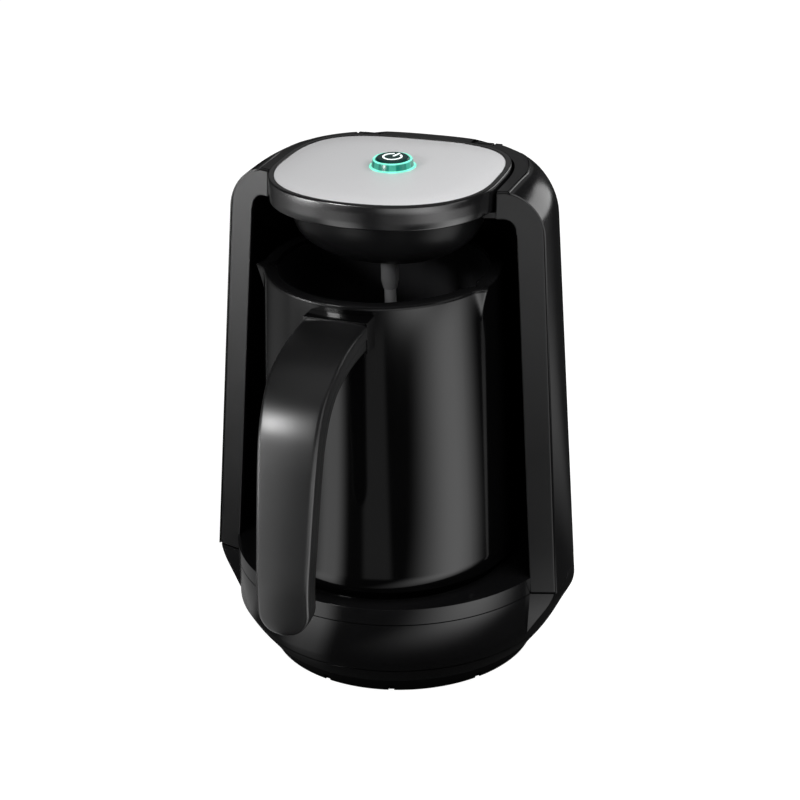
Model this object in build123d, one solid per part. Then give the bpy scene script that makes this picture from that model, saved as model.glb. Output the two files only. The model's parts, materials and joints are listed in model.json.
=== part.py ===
"""Electric turkish coffee maker: an arched housing, a hinged sensor lid with a button, and a lift-off jug.

Millimetres, +Z up, +X to the right, the jug handle points along -Y.
The origin is on the resting plane, under the centre of the round base.
"""
from build123d import *
import math
import os

# ---------------------------------------------------------------- housing
BODY_TOP = 223.0            # top of the side covers
SEAM_Z = 41.8               # seam between the upper housing and the base cover
SEAM_GAP = 0.4
WALL = 2.2                  # moulded wall of the covers
FIT = 0.15                  # gap between pieces that clip together
REFERENCE_HIGH = 200.0      # heights at which the tapering widths are given
REFERENCE_LOW = 50.0
OUTER_HALF = (71.9, 80.5)   # half width over the covers, at the high and the low reference
INNER_HALF = (60.06, 68.9)  # half width between the arms
CAVITY_DEPTH = (54.0, 62.0)  # depth of the jug bay behind the jug axis
BACK_Y = (55.64, 59.8)      # back surface
FACE_Y_120 = -20.6          # front face of the arms at z = 120
FACE_SLOPE = 0.08           # how far the face moves back per millimetre of height
FACE_SPLAY = 3.5 / 11.84    # how far it falls back per millimetre outwards
FACE_MEET = 0.8             # FACE_Y_120 holds this far inside the bay's wall
FACE_CREASE = 13.0          # the face is square to Y from this far inside the bay's wall
PLAN_POWER = 2.8            # roundness of the plan behind the face
SHOULDER_RADIUS = 20.0
BACK_RADIUS = 6.0
CEILING_Z = 210.4           # underside of the arch
LINER_WALL = 2.0
REAR_HALF = 38.0            # half width of the rear panel
REAR_SCREW_X = 29.0
BOSS_GAP = 1.2              # between the liner's screw bosses and the rear panel
REAR_SCREW_Z = (62.0, 196.0)

# ---------------------------------------------------------------- base
DRUM_RADIUS = 74.5
DRUM_TOP = 49.5
RING_BOTTOM = 0.8
RING_TOP = 8.0
BASE_OUTLINE = [(59.5, 0.0), (64.5, 8.0), (69.0, 14.0), (73.5, 21.4), (78.0, 30.0), (81.0, 35.5),
                (83.2, 43.0)]
GROOVE_Z = 16.4
NOTCH_ANGLES = (-53.0, -14.5, 14.5, 53.0)
FOOT_RADIUS = 5.5
FOOT_CIRCLE = 49.0
SEAT_Z = 45.4               # floor of the round seat that takes the jug's foot
SEAT_RADIUS = 53.0
BOARD_Z = 13.2
BOARD_SIZE = (84.0, 58.0, 1.6)
BOARD_HOLE = (36.0, 23.0)
POST_RADIUS = 7.0           # raised connector in the middle of the seat
POST_TOP = 53.0
CORD_Z = 20.0

# ---------------------------------------------------------------- head
HEAD_Y = -7.1               # centre line of the lid's outline
PLATE_HALF = 47.45
PLATE_FRONT = 40.9
PLATE_BACK = 45.6
FRONT_POWER = 2.24
BACK_POWER = 3.29
TRIM_WIDTH = 2.55           # black ring round the silver plate
LID_CLEARANCE = 1.1         # running gap round the lid
DECK_TOP = 222.0
DECK_HALF = 55.5
WELL_WALL = 1.8
LEDGE = (210.4, 212.7)      # shelf in the well that the closed lid rests over
HINGE_Y = 47.5
HINGE_Z = 219.0
HINGE_X = 27.0
PIN_RADIUS = 1.5
PIN_CLEARANCE = 0.05
KNUCKLE_HALF = 3.3
KNUCKLE_RADIUS = 3.0
SLOT_HALF = 3.6
BUMPER_X = 48.3
BUMPER_Y = (-10.0, 12.0)
CHEEK_OUTER = 6.6

PLATE_TOP = 224.0
WALL_TOP = 220.4            # top of the lid's side wall, under the trim
WALL_BOTTOM = 213.4
DOME_Y = -6.0
DOME_HALF = 42.5
DOME_FRONT = 34.0
DOME_BACK = 42.0
DOME_PROFILE = [(213.3, 1.01), (208.5, 0.995), (203.0, 0.965), (198.0, 0.906), (193.5, 0.776), (190.0, 0.612),
                (188.2, 0.42), (187.5, 0.2)]
DOME_WALL = 1.8
DOME_FLANGE = 4.0           # thickness of the inner flange that takes the screws
PROBE_Y = -5.5
SLEEVE_RADIUS = 3.85
SLEEVE_BOTTOM = 170.6
SLEEVE_TAPER = 3.8
SEAL_TOP = 190.9
ROD_RADIUS = 2.55
ROD_BOTTOM = 161.0
BUTTON_Y = 1.5
BUTTON_TOP = 228.0
BUTTON_RADIUS = 7.3
RING_OUTER = 10.0
RING_INNER = 7.7
RING_LIP = 226.0
LED_BOARD_Z = 212.4

# ---------------------------------------------------------------- jug
JUG_Y = -12.7
JUG_RADIUS = (50.48, 57.43)  # outside radius at the high and the low reference
JUG_BOTTOM = 54.7
JUG_TOP = 185.0
RIM_HEIGHT = 1.7
JUG_WALL = 1.8
POT_INSET = 4.4
POT_WALL = 1.2
POT_FLOOR = 66.0
JUG_FOOT_Z = 45.5
JUG_FOOT_RADIUS = 50.5
JUG_SCREW_CIRCLE = 53.1
SPOUT_ANGLE = 72.5          # pouring lips, turned from the handle
SPOUT_REACH = 56.0
SPOUT_LOW = 171.0
SPOUT_TOP = 184.5
SPOUT_HALF = 10.0           # half width of a lip at its root
SPOUT_ROOT = 6.0            # how far the root reaches into the wall
HANDLE_HALF = [(14.0, 188.0), (14.0, 172.0), (13.35, 162.0), (12.2, 127.0), (11.3, 95.0), (11.1, 80.0)]
HANDLE_TIP = 70.4
HANDLE_OUTER = [(-71.0, 181.0), (-84.0, 180.2), (-96.4, 178.0), (-108.5, 173.4), (-118.0, 166.0),
                (-124.5, 156.5), (-128.8, 144.7), (-133.5, 124.9), (-137.6, 104.6), (-139.9, 92.0),
                (-140.2, 78.0)]
HANDLE_INNER = [(-71.0, 168.0), (-83.5, 167.4), (-92.8, 165.8), (-101.5, 162.4), (-108.0, 157.0),
                (-112.4, 150.5), (-116.2, 141.5), (-120.9, 122.0), (-125.0, 101.5), (-127.2, 90.5),
                (-127.6, 78.0)]
HANDLE_SPLIT = 0.52         # where the handle's two shells meet, as a share of its thickness
SPLIT_GAP = 0.006
HANDLE_SCREW_X = 7.5
HANDLE_SCREW_Z = 171.0


# ---------------------------------------------------------------- helpers
def tapered(pair, z):
    """A size that changes evenly with height, from its values at the two reference heights."""
    share = (z - REFERENCE_LOW) / (REFERENCE_HIGH - REFERENCE_LOW)
    return pair[1] + (pair[0] - pair[1]) * share


def face_y(z):
    return FACE_Y_120 + FACE_SLOPE * (z - 120.0)


def at(x, y, z):
    return Location((x, y, z))


def block(x0, x1, y0, y1, z0, z1):
    """A box between two corners."""
    return at((x0 + x1) / 2, (y0 + y1) / 2, (z0 + z1) / 2) * Box(x1 - x0, y1 - y0, z1 - z0)


def band(z0, z1):
    """All space between two heights."""
    return block(-150, 150, -200, 150, z0, z1)


def rod(x, y, z0, z1, radius):
    """An upright cylinder."""
    return at(x, y, (z0 + z1) / 2) * Cylinder(radius, z1 - z0)


def rod_along_x(x0, x1, y, z, radius):
    return at((x0 + x1) / 2, y, z) * Rotation(0, 90, 0) * Cylinder(radius, x1 - x0)


def rod_along_y(x, y0, y1, z, radius):
    return at(x, (y0 + y1) / 2, z) * Rotation(90, 0, 0) * Cylinder(radius, y1 - y0)


def tube(x, y, z0, z1, outer, inner):
    return rod(x, y, z0, z1, outer) - rod(x, y, z0 - 1, z1 + 1, inner)


def arc_of_powers(half_width, depth, power, centre_y, steps=12):
    """Half a superellipse, from +X round the +Y side (or the -Y side, where depth is negative) to -X."""
    points = []
    for step in range(steps + 1):
        angle = math.pi * step / steps
        cosine = math.cos(angle)
        x = half_width * math.copysign(abs(cosine) ** (2 / power), cosine)
        points.append((x, centre_y + depth * abs(math.sin(angle)) ** (2 / power)))
    lean = 1 if depth > 0 else -1
    return Spline(*points, tangents=[(0, lean), (0, -lean)])


def flat(z, *edges):
    """A face at height z inside a closed loop of edges."""
    return at(0, 0, z) * make_face(Curve() + list(edges))


def solids_of(shape):
    return [solid for solid in shape.solids() if solid.volume > 1.0]


def biggest(shape):
    """The main solid of a cut, without slivers."""
    return max(shape.solids(), key=lambda solid: solid.volume)


def save(name, *shapes):
    """Writes one node, which may be a group of separate solids."""
    found = []
    for shape in shapes:
        found += solids_of(shape)
    result = found[0] if len(found) == 1 else Compound(children=found)
    export_step(result, f"parts/{name}.step")


# ---------------------------------------------------------------- forms that several pieces share
def body_section(z, inset):
    """Plan of the housing at one height: rounded behind the arms, straight in front of them."""
    top = BODY_TOP - inset
    shoulder = SHOULDER_RADIUS - inset
    back_round = BACK_RADIUS - inset
    side_cut = 0.0
    back_cut = 0.0
    if z > top - shoulder:
        side_cut = shoulder - math.sqrt(max(shoulder ** 2 - (z - top + shoulder) ** 2, 0.0))
    if z > top - back_round:
        back_cut = back_round - math.sqrt(max(back_round ** 2 - (z - top + back_round) ** 2, 0.0))
    half = tapered(OUTER_HALF, z) - inset - side_cut
    centre = face_y(z) + 3.5
    depth = tapered(BACK_Y, z) - inset - back_cut - centre
    arc = arc_of_powers(half, depth, PLAN_POWER, centre)
    front = Polyline((-half, centre), (-half, -60), (half, -60), (half, centre))
    return flat(z, arc, front)


def body_form(inset):
    """The housing's outer form, moved inwards by inset."""
    top = BODY_TOP - inset
    shoulder = SHOULDER_RADIUS - inset
    heights = [-2.0, top - shoulder]
    heights += [top - shoulder * (1 - math.sin(math.radians(step))) for step in (20, 37, 50, 62, 72, 81)]
    heights.append(top)
    return loft([body_section(z, inset) for z in heights], ruled=True)


def front_cut(setback):
    """All space in front of the arms' faces, moved back by setback."""
    faces = []
    for z in (-5.0, 235.0):
        near = tapered(INNER_HALF, z) - FACE_CREASE
        near_y = face_y(z) - (FACE_CREASE - FACE_MEET) * FACE_SPLAY + setback
        far = 110.0
        far_y = near_y + (far - near) * FACE_SPLAY
        outline = Polyline((-far, far_y), (-near, near_y), (near, near_y), (far, far_y), (far, -170),
                           (-far, -170), (-far, far_y))
        faces.append(flat(z, outline))
    return loft(faces, ruled=True)


def cavity_form(grow):
    """The jug bay: half an ellipse behind the jug axis, straight sides in front of it."""
    faces = []
    for z in (40.0, 232.0):
        half = tapered(INNER_HALF, z) + grow
        depth = tapered(CAVITY_DEPTH, z) + grow
        arc = EllipticalCenterArc((0, JUG_Y), half, depth, start_angle=0, arc_size=180)
        front = Polyline((-half, JUG_Y), (-half, -60), (half, -60), (half, JUG_Y))
        faces.append(flat(z, arc, front))
    return loft(faces, ruled=True)


def base_round(inset):
    """The bowl shape that trims the whole base from below."""
    low = BASE_OUTLINE[0]
    high = BASE_OUTLINE[-1]
    side = Spline(*[(r - inset, z) for r, z in BASE_OUTLINE])
    rest = Polyline((high[0] - inset, high[1]), (high[0] - inset, 60), (0, 60), (0, low[1]),
                    (low[0] - inset, low[1]))
    return revolve(Plane.XZ * make_face(Curve() + [side, rest]), Axis.Z)


def base_form(inset):
    """Drum and arm feet together, trimmed by the bowl shape."""
    arms = body_form(inset) & band(-1, 60)
    arms = arms - front_cut(inset)
    drum = rod(0, 0, -1, 60, DRUM_RADIUS - inset) & front_cut(5.0)
    return (arms + drum) & base_round(inset)


def head_face(z, grow):
    """The lid's outline at one height, grown evenly."""
    half = PLATE_HALF + grow
    back_arc = arc_of_powers(half, PLATE_BACK + grow, BACK_POWER, HEAD_Y)
    front_arc = arc_of_powers(half, -(PLATE_FRONT + grow), FRONT_POWER, HEAD_Y)
    return flat(z, back_arc, front_arc)


def head_prism(grow, z0, z1):
    return extrude(head_face(z0, grow), amount=z1 - z0)


def open_prism(half, back, z0, z1):
    """The lid's well: the back half of the lid's outline, open to the front."""
    arc = arc_of_powers(half, back, BACK_POWER, HEAD_Y)
    front = Polyline((-half, HEAD_Y), (-half, -70), (half, -70), (half, HEAD_Y))
    return extrude(flat(z0, arc, front), amount=z1 - z0)


def well_prism(grow, z0, z1):
    size = TRIM_WIDTH + LID_CLEARANCE + grow
    return open_prism(PLATE_HALF + size, PLATE_BACK + size, z0, z1)


def deck_prism(grow, z0, z1):
    """Outline of the strip round the lid, running to the back edge between the covers."""
    half = DECK_HALF + grow
    tail = REAR_HALF + grow
    right = Spline((half, 14), (half - 2.6, 26.5), (half - 6.3, 35.5), (half - 11.6, 42.4), (tail, 51),
                   tangents=[(0, 1), (-0.35, 1)])
    left = Spline((-tail, 51), (-half + 11.6, 42.4), (-half + 6.3, 35.5), (-half + 2.6, 26.5), (-half, 14),
                  tangents=[(-0.35, -1), (0, -1)])
    back = Polyline((tail, 51), (tail, 70), (-tail, 70), (-tail, 51))
    front = Polyline((-half, 14), (-half, -70), (half, -70), (half, 14))
    return extrude(flat(z0, right, back, left, front), amount=z1 - z0)


def back_surface(x, z):
    """Where the housing's back lies at one width and height."""
    half = tapered(OUTER_HALF, z)
    centre = face_y(z) + 3.5
    depth = tapered(BACK_Y, z) - centre
    return centre + depth * (1 - (abs(x) / half) ** PLAN_POWER) ** (1 / PLAN_POWER)


def jug_radius(z):
    return tapered(JUG_RADIUS, z)


def spout_form(inset, raise_by):
    """Both pouring lips: a V that grows out of the wall towards the rim."""
    lips = []
    for side in (-1, 1):
        angle = math.radians(side * SPOUT_ANGLE)
        out = Vector(math.sin(angle), -math.cos(angle))
        across = Vector(math.cos(angle), math.sin(angle))
        faces = []
        for z, reach, width in ((SPOUT_LOW, jug_radius(SPOUT_LOW) + 0.05, 1.5),
                                (SPOUT_TOP, SPOUT_REACH, SPOUT_HALF),
                                (JUG_TOP + raise_by, SPOUT_REACH, SPOUT_HALF)):
            tip = Vector(0, JUG_Y) + out * (reach - inset)
            root = Vector(0, JUG_Y) + out * (jug_radius(z) - SPOUT_ROOT - inset)
            corners = [tip, root + across * width, root - across * width]
            faces.append(flat(z, Polyline(*[(corner.X, corner.Y) for corner in corners], close=True)))
        lips.append(loft(faces, ruled=True))
    return lips[0] + lips[1]


def jug_form(inset, z0, z1, raise_by=0.0):
    """The jug's wall moved inwards by inset, with its pouring lips, between two heights."""
    cone = at(0, JUG_Y, (z0 + z1) / 2) * Cone(jug_radius(z0) - inset, jug_radius(z1) - inset, z1 - z0)
    return (cone + spout_form(inset, raise_by)) & band(z0, z1)


def head_on_screw(x, y, z_head, up, head_radius=2.4, head_height=1.4, shank_radius=1.25, length=8.0):
    """A pan-head screw; up is +1 where the head is above the shank."""
    head_low = z_head if up > 0 else z_head - head_height
    head = rod(x, y, head_low, head_low + head_height, head_radius)
    shank_low = z_head - length if up > 0 else z_head
    return head + rod(x, y, shank_low, shank_low + length, shank_radius)


# ---------------------------------------------------------------- housing pieces
def covers_and_rear():
    """The two side covers and the panel between them at the back, cut from one shell."""
    shell = body_form(0) - body_form(WALL) - front_cut(0)
    shell = shell & band(SEAM_Z + SEAM_GAP / 2, BODY_TOP + 1)
    sides = shell - block(-REAR_HALF - FIT, REAR_HALF + FIT, 30, 80, 30, 215)
    sides = sides - deck_prism(FIT, 213, BODY_TOP + 2)
    left = biggest(sides & block(-100, 0, -60, 80, 30, 230))
    right = biggest(sides & block(0, 100, -60, 80, 30, 230))
    rear = biggest(shell & block(-REAR_HALF + FIT, REAR_HALF - FIT, 30, 80, 30, 213 - FIT))
    for x, z in rear_screw_places():
        y = back_surface(x, z)
        rear = rear - rod_along_y(x, y - 10, y + 5, z, 1.6)
        rear = rear - rod_along_y(x, y - 1.2, y + 5, z, 3.0)
    save("left_cover", left)
    save("right_cover", right)
    save("rear_panel", rear)


def rear_screw_places():
    return [(side * REAR_SCREW_X, z) for side in (-1, 1) for z in REAR_SCREW_Z]


def rear_screws():
    screws = []
    for x, z in rear_screw_places():
        y = back_surface(x, z)
        head = rod_along_y(x, y - 1.15, y - 0.1, z, 2.8) - block(x - 2, x + 2, y - 0.7, y, z - 0.3, z + 0.3)
        screws.append(head + rod_along_y(x, y - 6.4, y - 1.15, z, 1.3))
    save("rear_screws", *screws)


def arm_fronts():
    """The dark face of each arm, up to the strip round the lid."""
    slab = front_cut(WALL) - front_cut(0)
    slab = slab & body_form(WALL + FIT) & band(SEAM_Z + SEAM_GAP / 2, BODY_TOP)
    slab = slab - (cavity_form(0) & band(30, CEILING_Z))
    slab = slab - block(-DECK_HALF + 4.0, DECK_HALF - 4.0, -60, 60, 200, 230)
    slab = slab - block(-DECK_HALF - FIT, DECK_HALF + FIT, -60, 60, DECK_TOP - WALL - FIT, 230)
    save("left_arm_front", biggest(slab & block(-100, 0, -60, 80, 30, 230)))
    save("right_arm_front", biggest(slab & block(0, 100, -60, 80, 30, 230)))


def cavity_liner():
    """The wall behind and beside the jug, and the ceiling of the arch."""
    outer = cavity_form(LINER_WALL)
    wall = (outer - cavity_form(0)) & band(DRUM_TOP + 0.1, CEILING_Z + LINER_WALL)
    ceiling = outer & band(CEILING_Z, CEILING_Z + LINER_WALL)
    liner = wall + ceiling
    liner = liner - front_cut(WALL + 0.1)
    liner = liner - well_prism(WELL_WALL + FIT, LEDGE[0] - FIT, 230)
    liner = biggest(liner)
    for x, z in rear_screw_places():
        share = math.sqrt(1 - (x / tapered(INNER_HALF, z)) ** 2)
        inner_y = JUG_Y + (tapered(CAVITY_DEPTH, z) + 1.0) * share
        outer_y = back_surface(x, z) - WALL - BOSS_GAP
        boss = rod_along_y(x, inner_y, outer_y, z, 3.2) - cavity_form(0.3)
        liner = liner + biggest(boss)
        liner = liner - rod_along_y(x, outer_y - 4.2, outer_y + 1, z, 1.3)
    save("cavity_liner", liner)


def top_deck():
    """The strip round the lid with the well that the lid sinks into and the ledge under it."""
    plate = body_form(0) & deck_prism(0, DECK_TOP - WALL, DECK_TOP)
    plate = plate + (body_form(0) & deck_prism(0, 213, DECK_TOP) & block(-60, 60, 50.8, 80, 213, 230))
    plate = plate - (body_form(WALL) & band(200, DECK_TOP - WALL))
    plate = plate - front_cut(0)
    well = well_prism(WELL_WALL, LEDGE[0], DECK_TOP) - front_cut(WALL + 0.1)
    ledge_hole = open_prism(45.5, PLATE_BACK, LEDGE[0] - 1, LEDGE[1] + 1)
    inside = well_prism(0, LEDGE[1], 230)
    deck = (biggest(plate) + well) - inside - ledge_hole
    for side in (-1, 1):
        x = side * HINGE_X
        deck = deck - block(x - SLOT_HALF, x + SLOT_HALF, 34, 51, HINGE_Z - 3.6, 230)
        deck = deck - block(x - CHEEK_OUTER - 0.1, x + CHEEK_OUTER + 0.1, 43.6, 51, HINGE_Z - 12, 230)
    save("top_deck", biggest(deck))


def lid_bumpers():
    places = [(side * BUMPER_X, y) for side in (-1, 1) for y in BUMPER_Y]
    save("lid_bumpers", *[rod(x, y, LEDGE[1], WALL_BOTTOM - 0.1, 1.6) for x, y in places])


def hinge_brackets():
    """Two cheeks on a foot, one bracket for each knuckle."""
    brackets = []
    for side in (-1, 1):
        x = side * HINGE_X
        body = block(x - CHEEK_OUTER, x + CHEEK_OUTER, 43.7, 50.9, HINGE_Z - 5.6, DECK_TOP - 0.6)
        body = body - block(x - SLOT_HALF, x + SLOT_HALF, 40, 53, HINGE_Z - 4.2, DECK_TOP + 1)
        body = body - rod_along_x(x - 10, x + 10, HINGE_Y, HINGE_Z, PIN_RADIUS + 0.02)
        brackets.append(body)
    save("hinge_brackets", *brackets)


def hinge_pins():
    pins = []
    for side in (-1, 1):
        x = side * HINGE_X
        pins.append(rod_along_x(x - CHEEK_OUTER + 0.1, x + CHEEK_OUTER - 0.1, HINGE_Y, HINGE_Z, PIN_RADIUS))
    save("hinge_pins", *pins)


# ---------------------------------------------------------------- base pieces
def jug_platform():
    """Top of the drum: the floor of the jug bay with a round seat."""
    low = SEAM_Z + SEAM_GAP / 2

    def outline(inset, z0, z1):
        front = rod(0, 0, z0, z1, DRUM_RADIUS - inset) & front_cut(-FIT - inset)
        bay = (cavity_form(-FIT - inset) & band(z0, z1)) - front_cut(-FIT - inset - 0.5)
        return front + bay

    platform = outline(0, low, DRUM_TOP)
    pocket = outline(WALL, low - 1, DRUM_TOP - WALL) - rod(0, JUG_Y, 30, 60, SEAT_RADIUS + WALL)
    platform = platform - pocket
    platform = platform - rod(0, JUG_Y, SEAT_Z, 60, SEAT_RADIUS)
    platform = platform - rod(0, JUG_Y, 30, SEAT_Z - WALL, SEAT_RADIUS - 1)
    platform = platform - rod(0, JUG_Y, 30, 60, POST_RADIUS + 0.2)
    save("jug_platform", biggest(platform))


def base_pieces():
    """Base cover above, bottom plate below, both cut from the drum and the arm feet."""
    outside = base_form(0)
    inside = base_form(WALL)
    cover = (outside & band(RING_TOP + 0.2, SEAM_Z - SEAM_GAP / 2)) - inside
    cover = cover - ((outside - base_form(0.8)) & band(GROOVE_Z, GROOVE_Z + 0.9))
    cover = cover - rod_along_y(0, 50, 70, CORD_Z, 6.1)
    save("base_cover", biggest(cover))

    ring = (outside & band(RING_BOTTOM, RING_TOP)) - (inside & band(RING_BOTTOM + 2.4, RING_TOP + 1))
    for x, y in board_holes():
        ring = ring + tube(x, y, RING_BOTTOM + 2.0, BOARD_Z, 3.2, 1.2)
    for x, y in foot_places():
        ring = ring - rod(x, y, 0, RING_BOTTOM + 1.0, FOOT_RADIUS + 0.05)
    for x, y in base_screw_places():
        ring = ring - rod(x, y, 0, 20, 1.6) - rod(x, y, 0, RING_BOTTOM + 1.5, 3.1)
    for angle in NOTCH_ANGLES:
        ring = ring - Rotation(0, 0, angle) * block(-1.3, 1.3, -70, -59.0, 0, 4.2)
    save("base_ring", biggest(ring))


def board_holes():
    return [(sx * BOARD_HOLE[0], sy * BOARD_HOLE[1]) for sx in (-1, 1) for sy in (-1, 1)]


def foot_places():
    """Four feet near the edge and one in the middle."""
    corners = [math.radians(angle) for angle in (45, 135, 225, 315)]
    outer = [(FOOT_CIRCLE * math.cos(angle), FOOT_CIRCLE * math.sin(angle)) for angle in corners]
    return outer + [(0.0, 0.0)]


def base_screw_places():
    corners = [math.radians(angle) for angle in (0, 90, 180, 270)]
    return [(53.0 * math.cos(angle), 53.0 * math.sin(angle)) for angle in corners]


def rubber_feet():
    save("rubber_feet", *[rod(x, y, 0, RING_BOTTOM + 1.0, FOOT_RADIUS) for x, y in foot_places()])


def base_screws():
    screws = []
    for x, y in base_screw_places():
        screw = head_on_screw(x, y, RING_BOTTOM + 1.5, -1, 2.8, 1.3, 1.4, 11.0)
        screws.append(screw - block(x - 2, x + 2, y - 0.35, y + 0.35, 0, RING_BOTTOM + 0.7))
    save("base_screws", *screws)


def power_board():
    """Circuit board with its relay, transformer and capacitor."""
    low = BOARD_Z
    high = BOARD_Z + BOARD_SIZE[2]
    board = block(-BOARD_SIZE[0] / 2, BOARD_SIZE[0] / 2, -BOARD_SIZE[1] / 2, BOARD_SIZE[1] / 2, low, high)
    for x, y in board_holes():
        board = board - rod(x, y, 0, 30, 1.5)
    board = board + block(-28, -10, -20, -4, high, high + 12)
    board = board + block(-28, -12, 4, 20, high, high + 10)
    board = board + rod(16, 14, high, high + 13, 5)
    board = board + block(24, 38, -8, 8, high, high + 4)
    save("power_board", board)


def board_screws():
    top = BOARD_Z + BOARD_SIZE[2]
    save("board_screws", *[head_on_screw(x, y, top, 1, 2.6, 1.4, 1.15, 9.0) for x, y in board_holes()])


def buzzer():
    top = BOARD_Z + BOARD_SIZE[2]
    save("buzzer", tube(2, -14, top, top + 6, 5.5, 1.0) + rod(2, -14, top, top + 3, 5.0))


def base_connector():
    """Raised plug in the middle of the seat, held under its floor by a flange."""
    floor_bottom = SEAT_Z - WALL
    body = rod(0, JUG_Y, floor_bottom - 2.5, floor_bottom, 14.0)
    body = body + rod(0, JUG_Y, floor_bottom - 9.0, floor_bottom - 2.5, 10.0)
    body = body + rod(0, JUG_Y, floor_bottom - 1.0, POST_TOP, POST_RADIUS)
    for x in (-3.6, 0, 3.6):
        body = body - rod(x, JUG_Y, POST_TOP - 4, POST_TOP + 1, 0.95)
    save("base_connector", body)


def connector_contacts():
    save("connector_contacts", *[rod(x, JUG_Y, POST_TOP - 4, POST_TOP + 1.0, 0.9) for x in (-3.6, 0, 3.6)])


def cord_inlet():
    """Bush in the back of the base where the mains lead goes in."""
    outer = back_surface(0, CORD_Z)
    bush = rod_along_y(0, outer - 5.5, outer - 0.1, CORD_Z, 6.0)
    bush = bush + rod_along_y(0, outer - 5.0, outer - WALL - 0.3, CORD_Z, 7.4)
    save("cord_inlet", bush - rod_along_y(0, outer - 9, outer + 2, CORD_Z, 3.6))


def sensor_cable():
    """Lead from the power board up behind the liner to the hinge."""
    path = FilletPolyline((14, 22, 17.0), (14, 46, 24.0), (14, 54.2, 48.0), (14, 49.3, 204.0), radius=12)
    section = Plane(path @ 0, z_dir=path % 0) * Circle(1.5)
    save("sensor_cable", sweep(section, path=path))


# ---------------------------------------------------------------- lid pieces
def lid_shell():
    """The lid's upright side wall, with a floor that the dome is screwed to."""
    shell = head_prism(TRIM_WIDTH, WALL_BOTTOM, WALL_TOP)
    shell = shell - head_prism(TRIM_WIDTH - 2.0, WALL_BOTTOM + 2, WALL_TOP - 1)
    shell = shell - head_prism(-1.2, WALL_TOP - 1.2, WALL_TOP + 1)
    shell = shell - dome_face_prism(0.66, WALL_BOTTOM - 1, WALL_BOTTOM + 3)
    for x, y in dome_screw_places():
        shell = shell - rod(x, y, WALL_BOTTOM - 1, WALL_BOTTOM + 3, 1.4)
    save("lid_shell", biggest(shell))


def dome_face(z, scale, inset=0.0):
    half = DOME_HALF * scale - inset
    back_arc = arc_of_powers(half, DOME_BACK * scale - inset, 2.2, DOME_Y)
    front_arc = arc_of_powers(half, -(DOME_FRONT * scale - inset), 2.1, DOME_Y)
    return flat(z, back_arc, front_arc)


def dome_face_prism(scale, z0, z1):
    return extrude(dome_face(z0, scale), amount=z1 - z0)


def lid_dome():
    outer = loft([dome_face(z, scale) for z, scale in reversed(DOME_PROFILE)], ruled=True)
    inner_faces = [dome_face(z + DOME_WALL, scale, DOME_WALL * scale) for z, scale in reversed(DOME_PROFILE)]
    inner = loft(inner_faces, ruled=True)
    dome = outer - inner
    top = DOME_PROFILE[0][0]
    flange = dome_face_prism(0.985, top - DOME_FLANGE, top) - dome_face_prism(0.66, top - 10, top + 1)
    dome = dome + flange
    for x, y in dome_screw_places():
        dome = dome - rod(x, y, top - DOME_FLANGE + 0.6, top + 1.0, 1.2)
    dome = dome - rod(0, PROBE_Y, 180, 200, SLEEVE_RADIUS + 0.1)
    save("lid_dome", biggest(dome))


def dome_screw_places():
    return [(sx * 25.0, DOME_Y + dy) for sx in (-1, 1) for dy in (-18.0, 24.0)]


def dome_screws():
    save("dome_screws", *[head_on_screw(x, y, WALL_BOTTOM + 2.0, 1, 2.4, 1.4, 1.15, 5.2)
                          for x, y in dome_screw_places()])


def plate_trim():
    """Black ring round the silver plate, with the shelf that the plate lies on."""
    trim = head_prism(TRIM_WIDTH, WALL_TOP + 0.05, PLATE_TOP + 0.2) - head_prism(0.1, PLATE_TOP - 1.2, 230)
    trim = trim - head_prism(-2.0, 200, 230)
    save("plate_trim", trim)


def top_plate():
    plate = head_prism(0, PLATE_TOP - 1.2, PLATE_TOP)
    save("top_plate", plate - rod(0, BUTTON_Y, 210, 230, RING_OUTER + 0.1))


def light_ring():
    """Clear ring round the button that carries the glow from the lamp board up."""
    ring = rod(0, BUTTON_Y, PLATE_TOP - 1.3, RING_LIP, RING_OUTER)
    ring = ring + rod(0, BUTTON_Y, PLATE_TOP - 3.2, PLATE_TOP - 1.3, RING_OUTER + 2.5)
    ring = chamfer(ring.edges().group_by(Axis.Z)[-1], 0.6)
    save("light_ring", ring - rod(0, BUTTON_Y, 200, 240, RING_INNER))


def button_guide():
    """Tube under the light ring that guides the button and stands on the lamp board."""
    guide = tube(0, BUTTON_Y, LED_BOARD_Z + 1.6, PLATE_TOP - 3.3, RING_OUTER + 1.0, RING_INNER)
    save("button_guide", guide)


def led_board():
    board = rod(0, BUTTON_Y, LED_BOARD_Z, LED_BOARD_Z + 1.5, 18.0)
    for angle in range(0, 360, 60):
        x = 13.5 * math.cos(math.radians(angle))
        y = BUTTON_Y + 13.5 * math.sin(math.radians(angle))
        board = board + block(x - 1.2, x + 1.2, y - 1.2, y + 1.2, LED_BOARD_Z + 1.5, LED_BOARD_Z + 2.4)
    for x, y in clip_screw_places():
        board = board - rod(x, y, 200, 230, 1.3)
    save("led_board", board)


def clip_screw_places():
    corners = [math.radians(angle) for angle in (45, 165, 285)]
    return [(15.6 * math.cos(angle), BUTTON_Y + 15.6 * math.sin(angle)) for angle in corners]


def board_clip_screws():
    places = clip_screw_places()
    save("board_clip_screws", *[head_on_screw(x, y, LED_BOARD_Z + 1.5, 1, 2.0, 1.2, 1.1, 4.0)
                                for x, y in places])


def tact_switch():
    top = LED_BOARD_Z + 1.5
    body = block(-3, 3, BUTTON_Y - 3, BUTTON_Y + 3, top, top + 1.8)
    save("tact_switch", body + rod(0, BUTTON_Y, top + 1.8, top + 2.5, 1.7))


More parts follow.
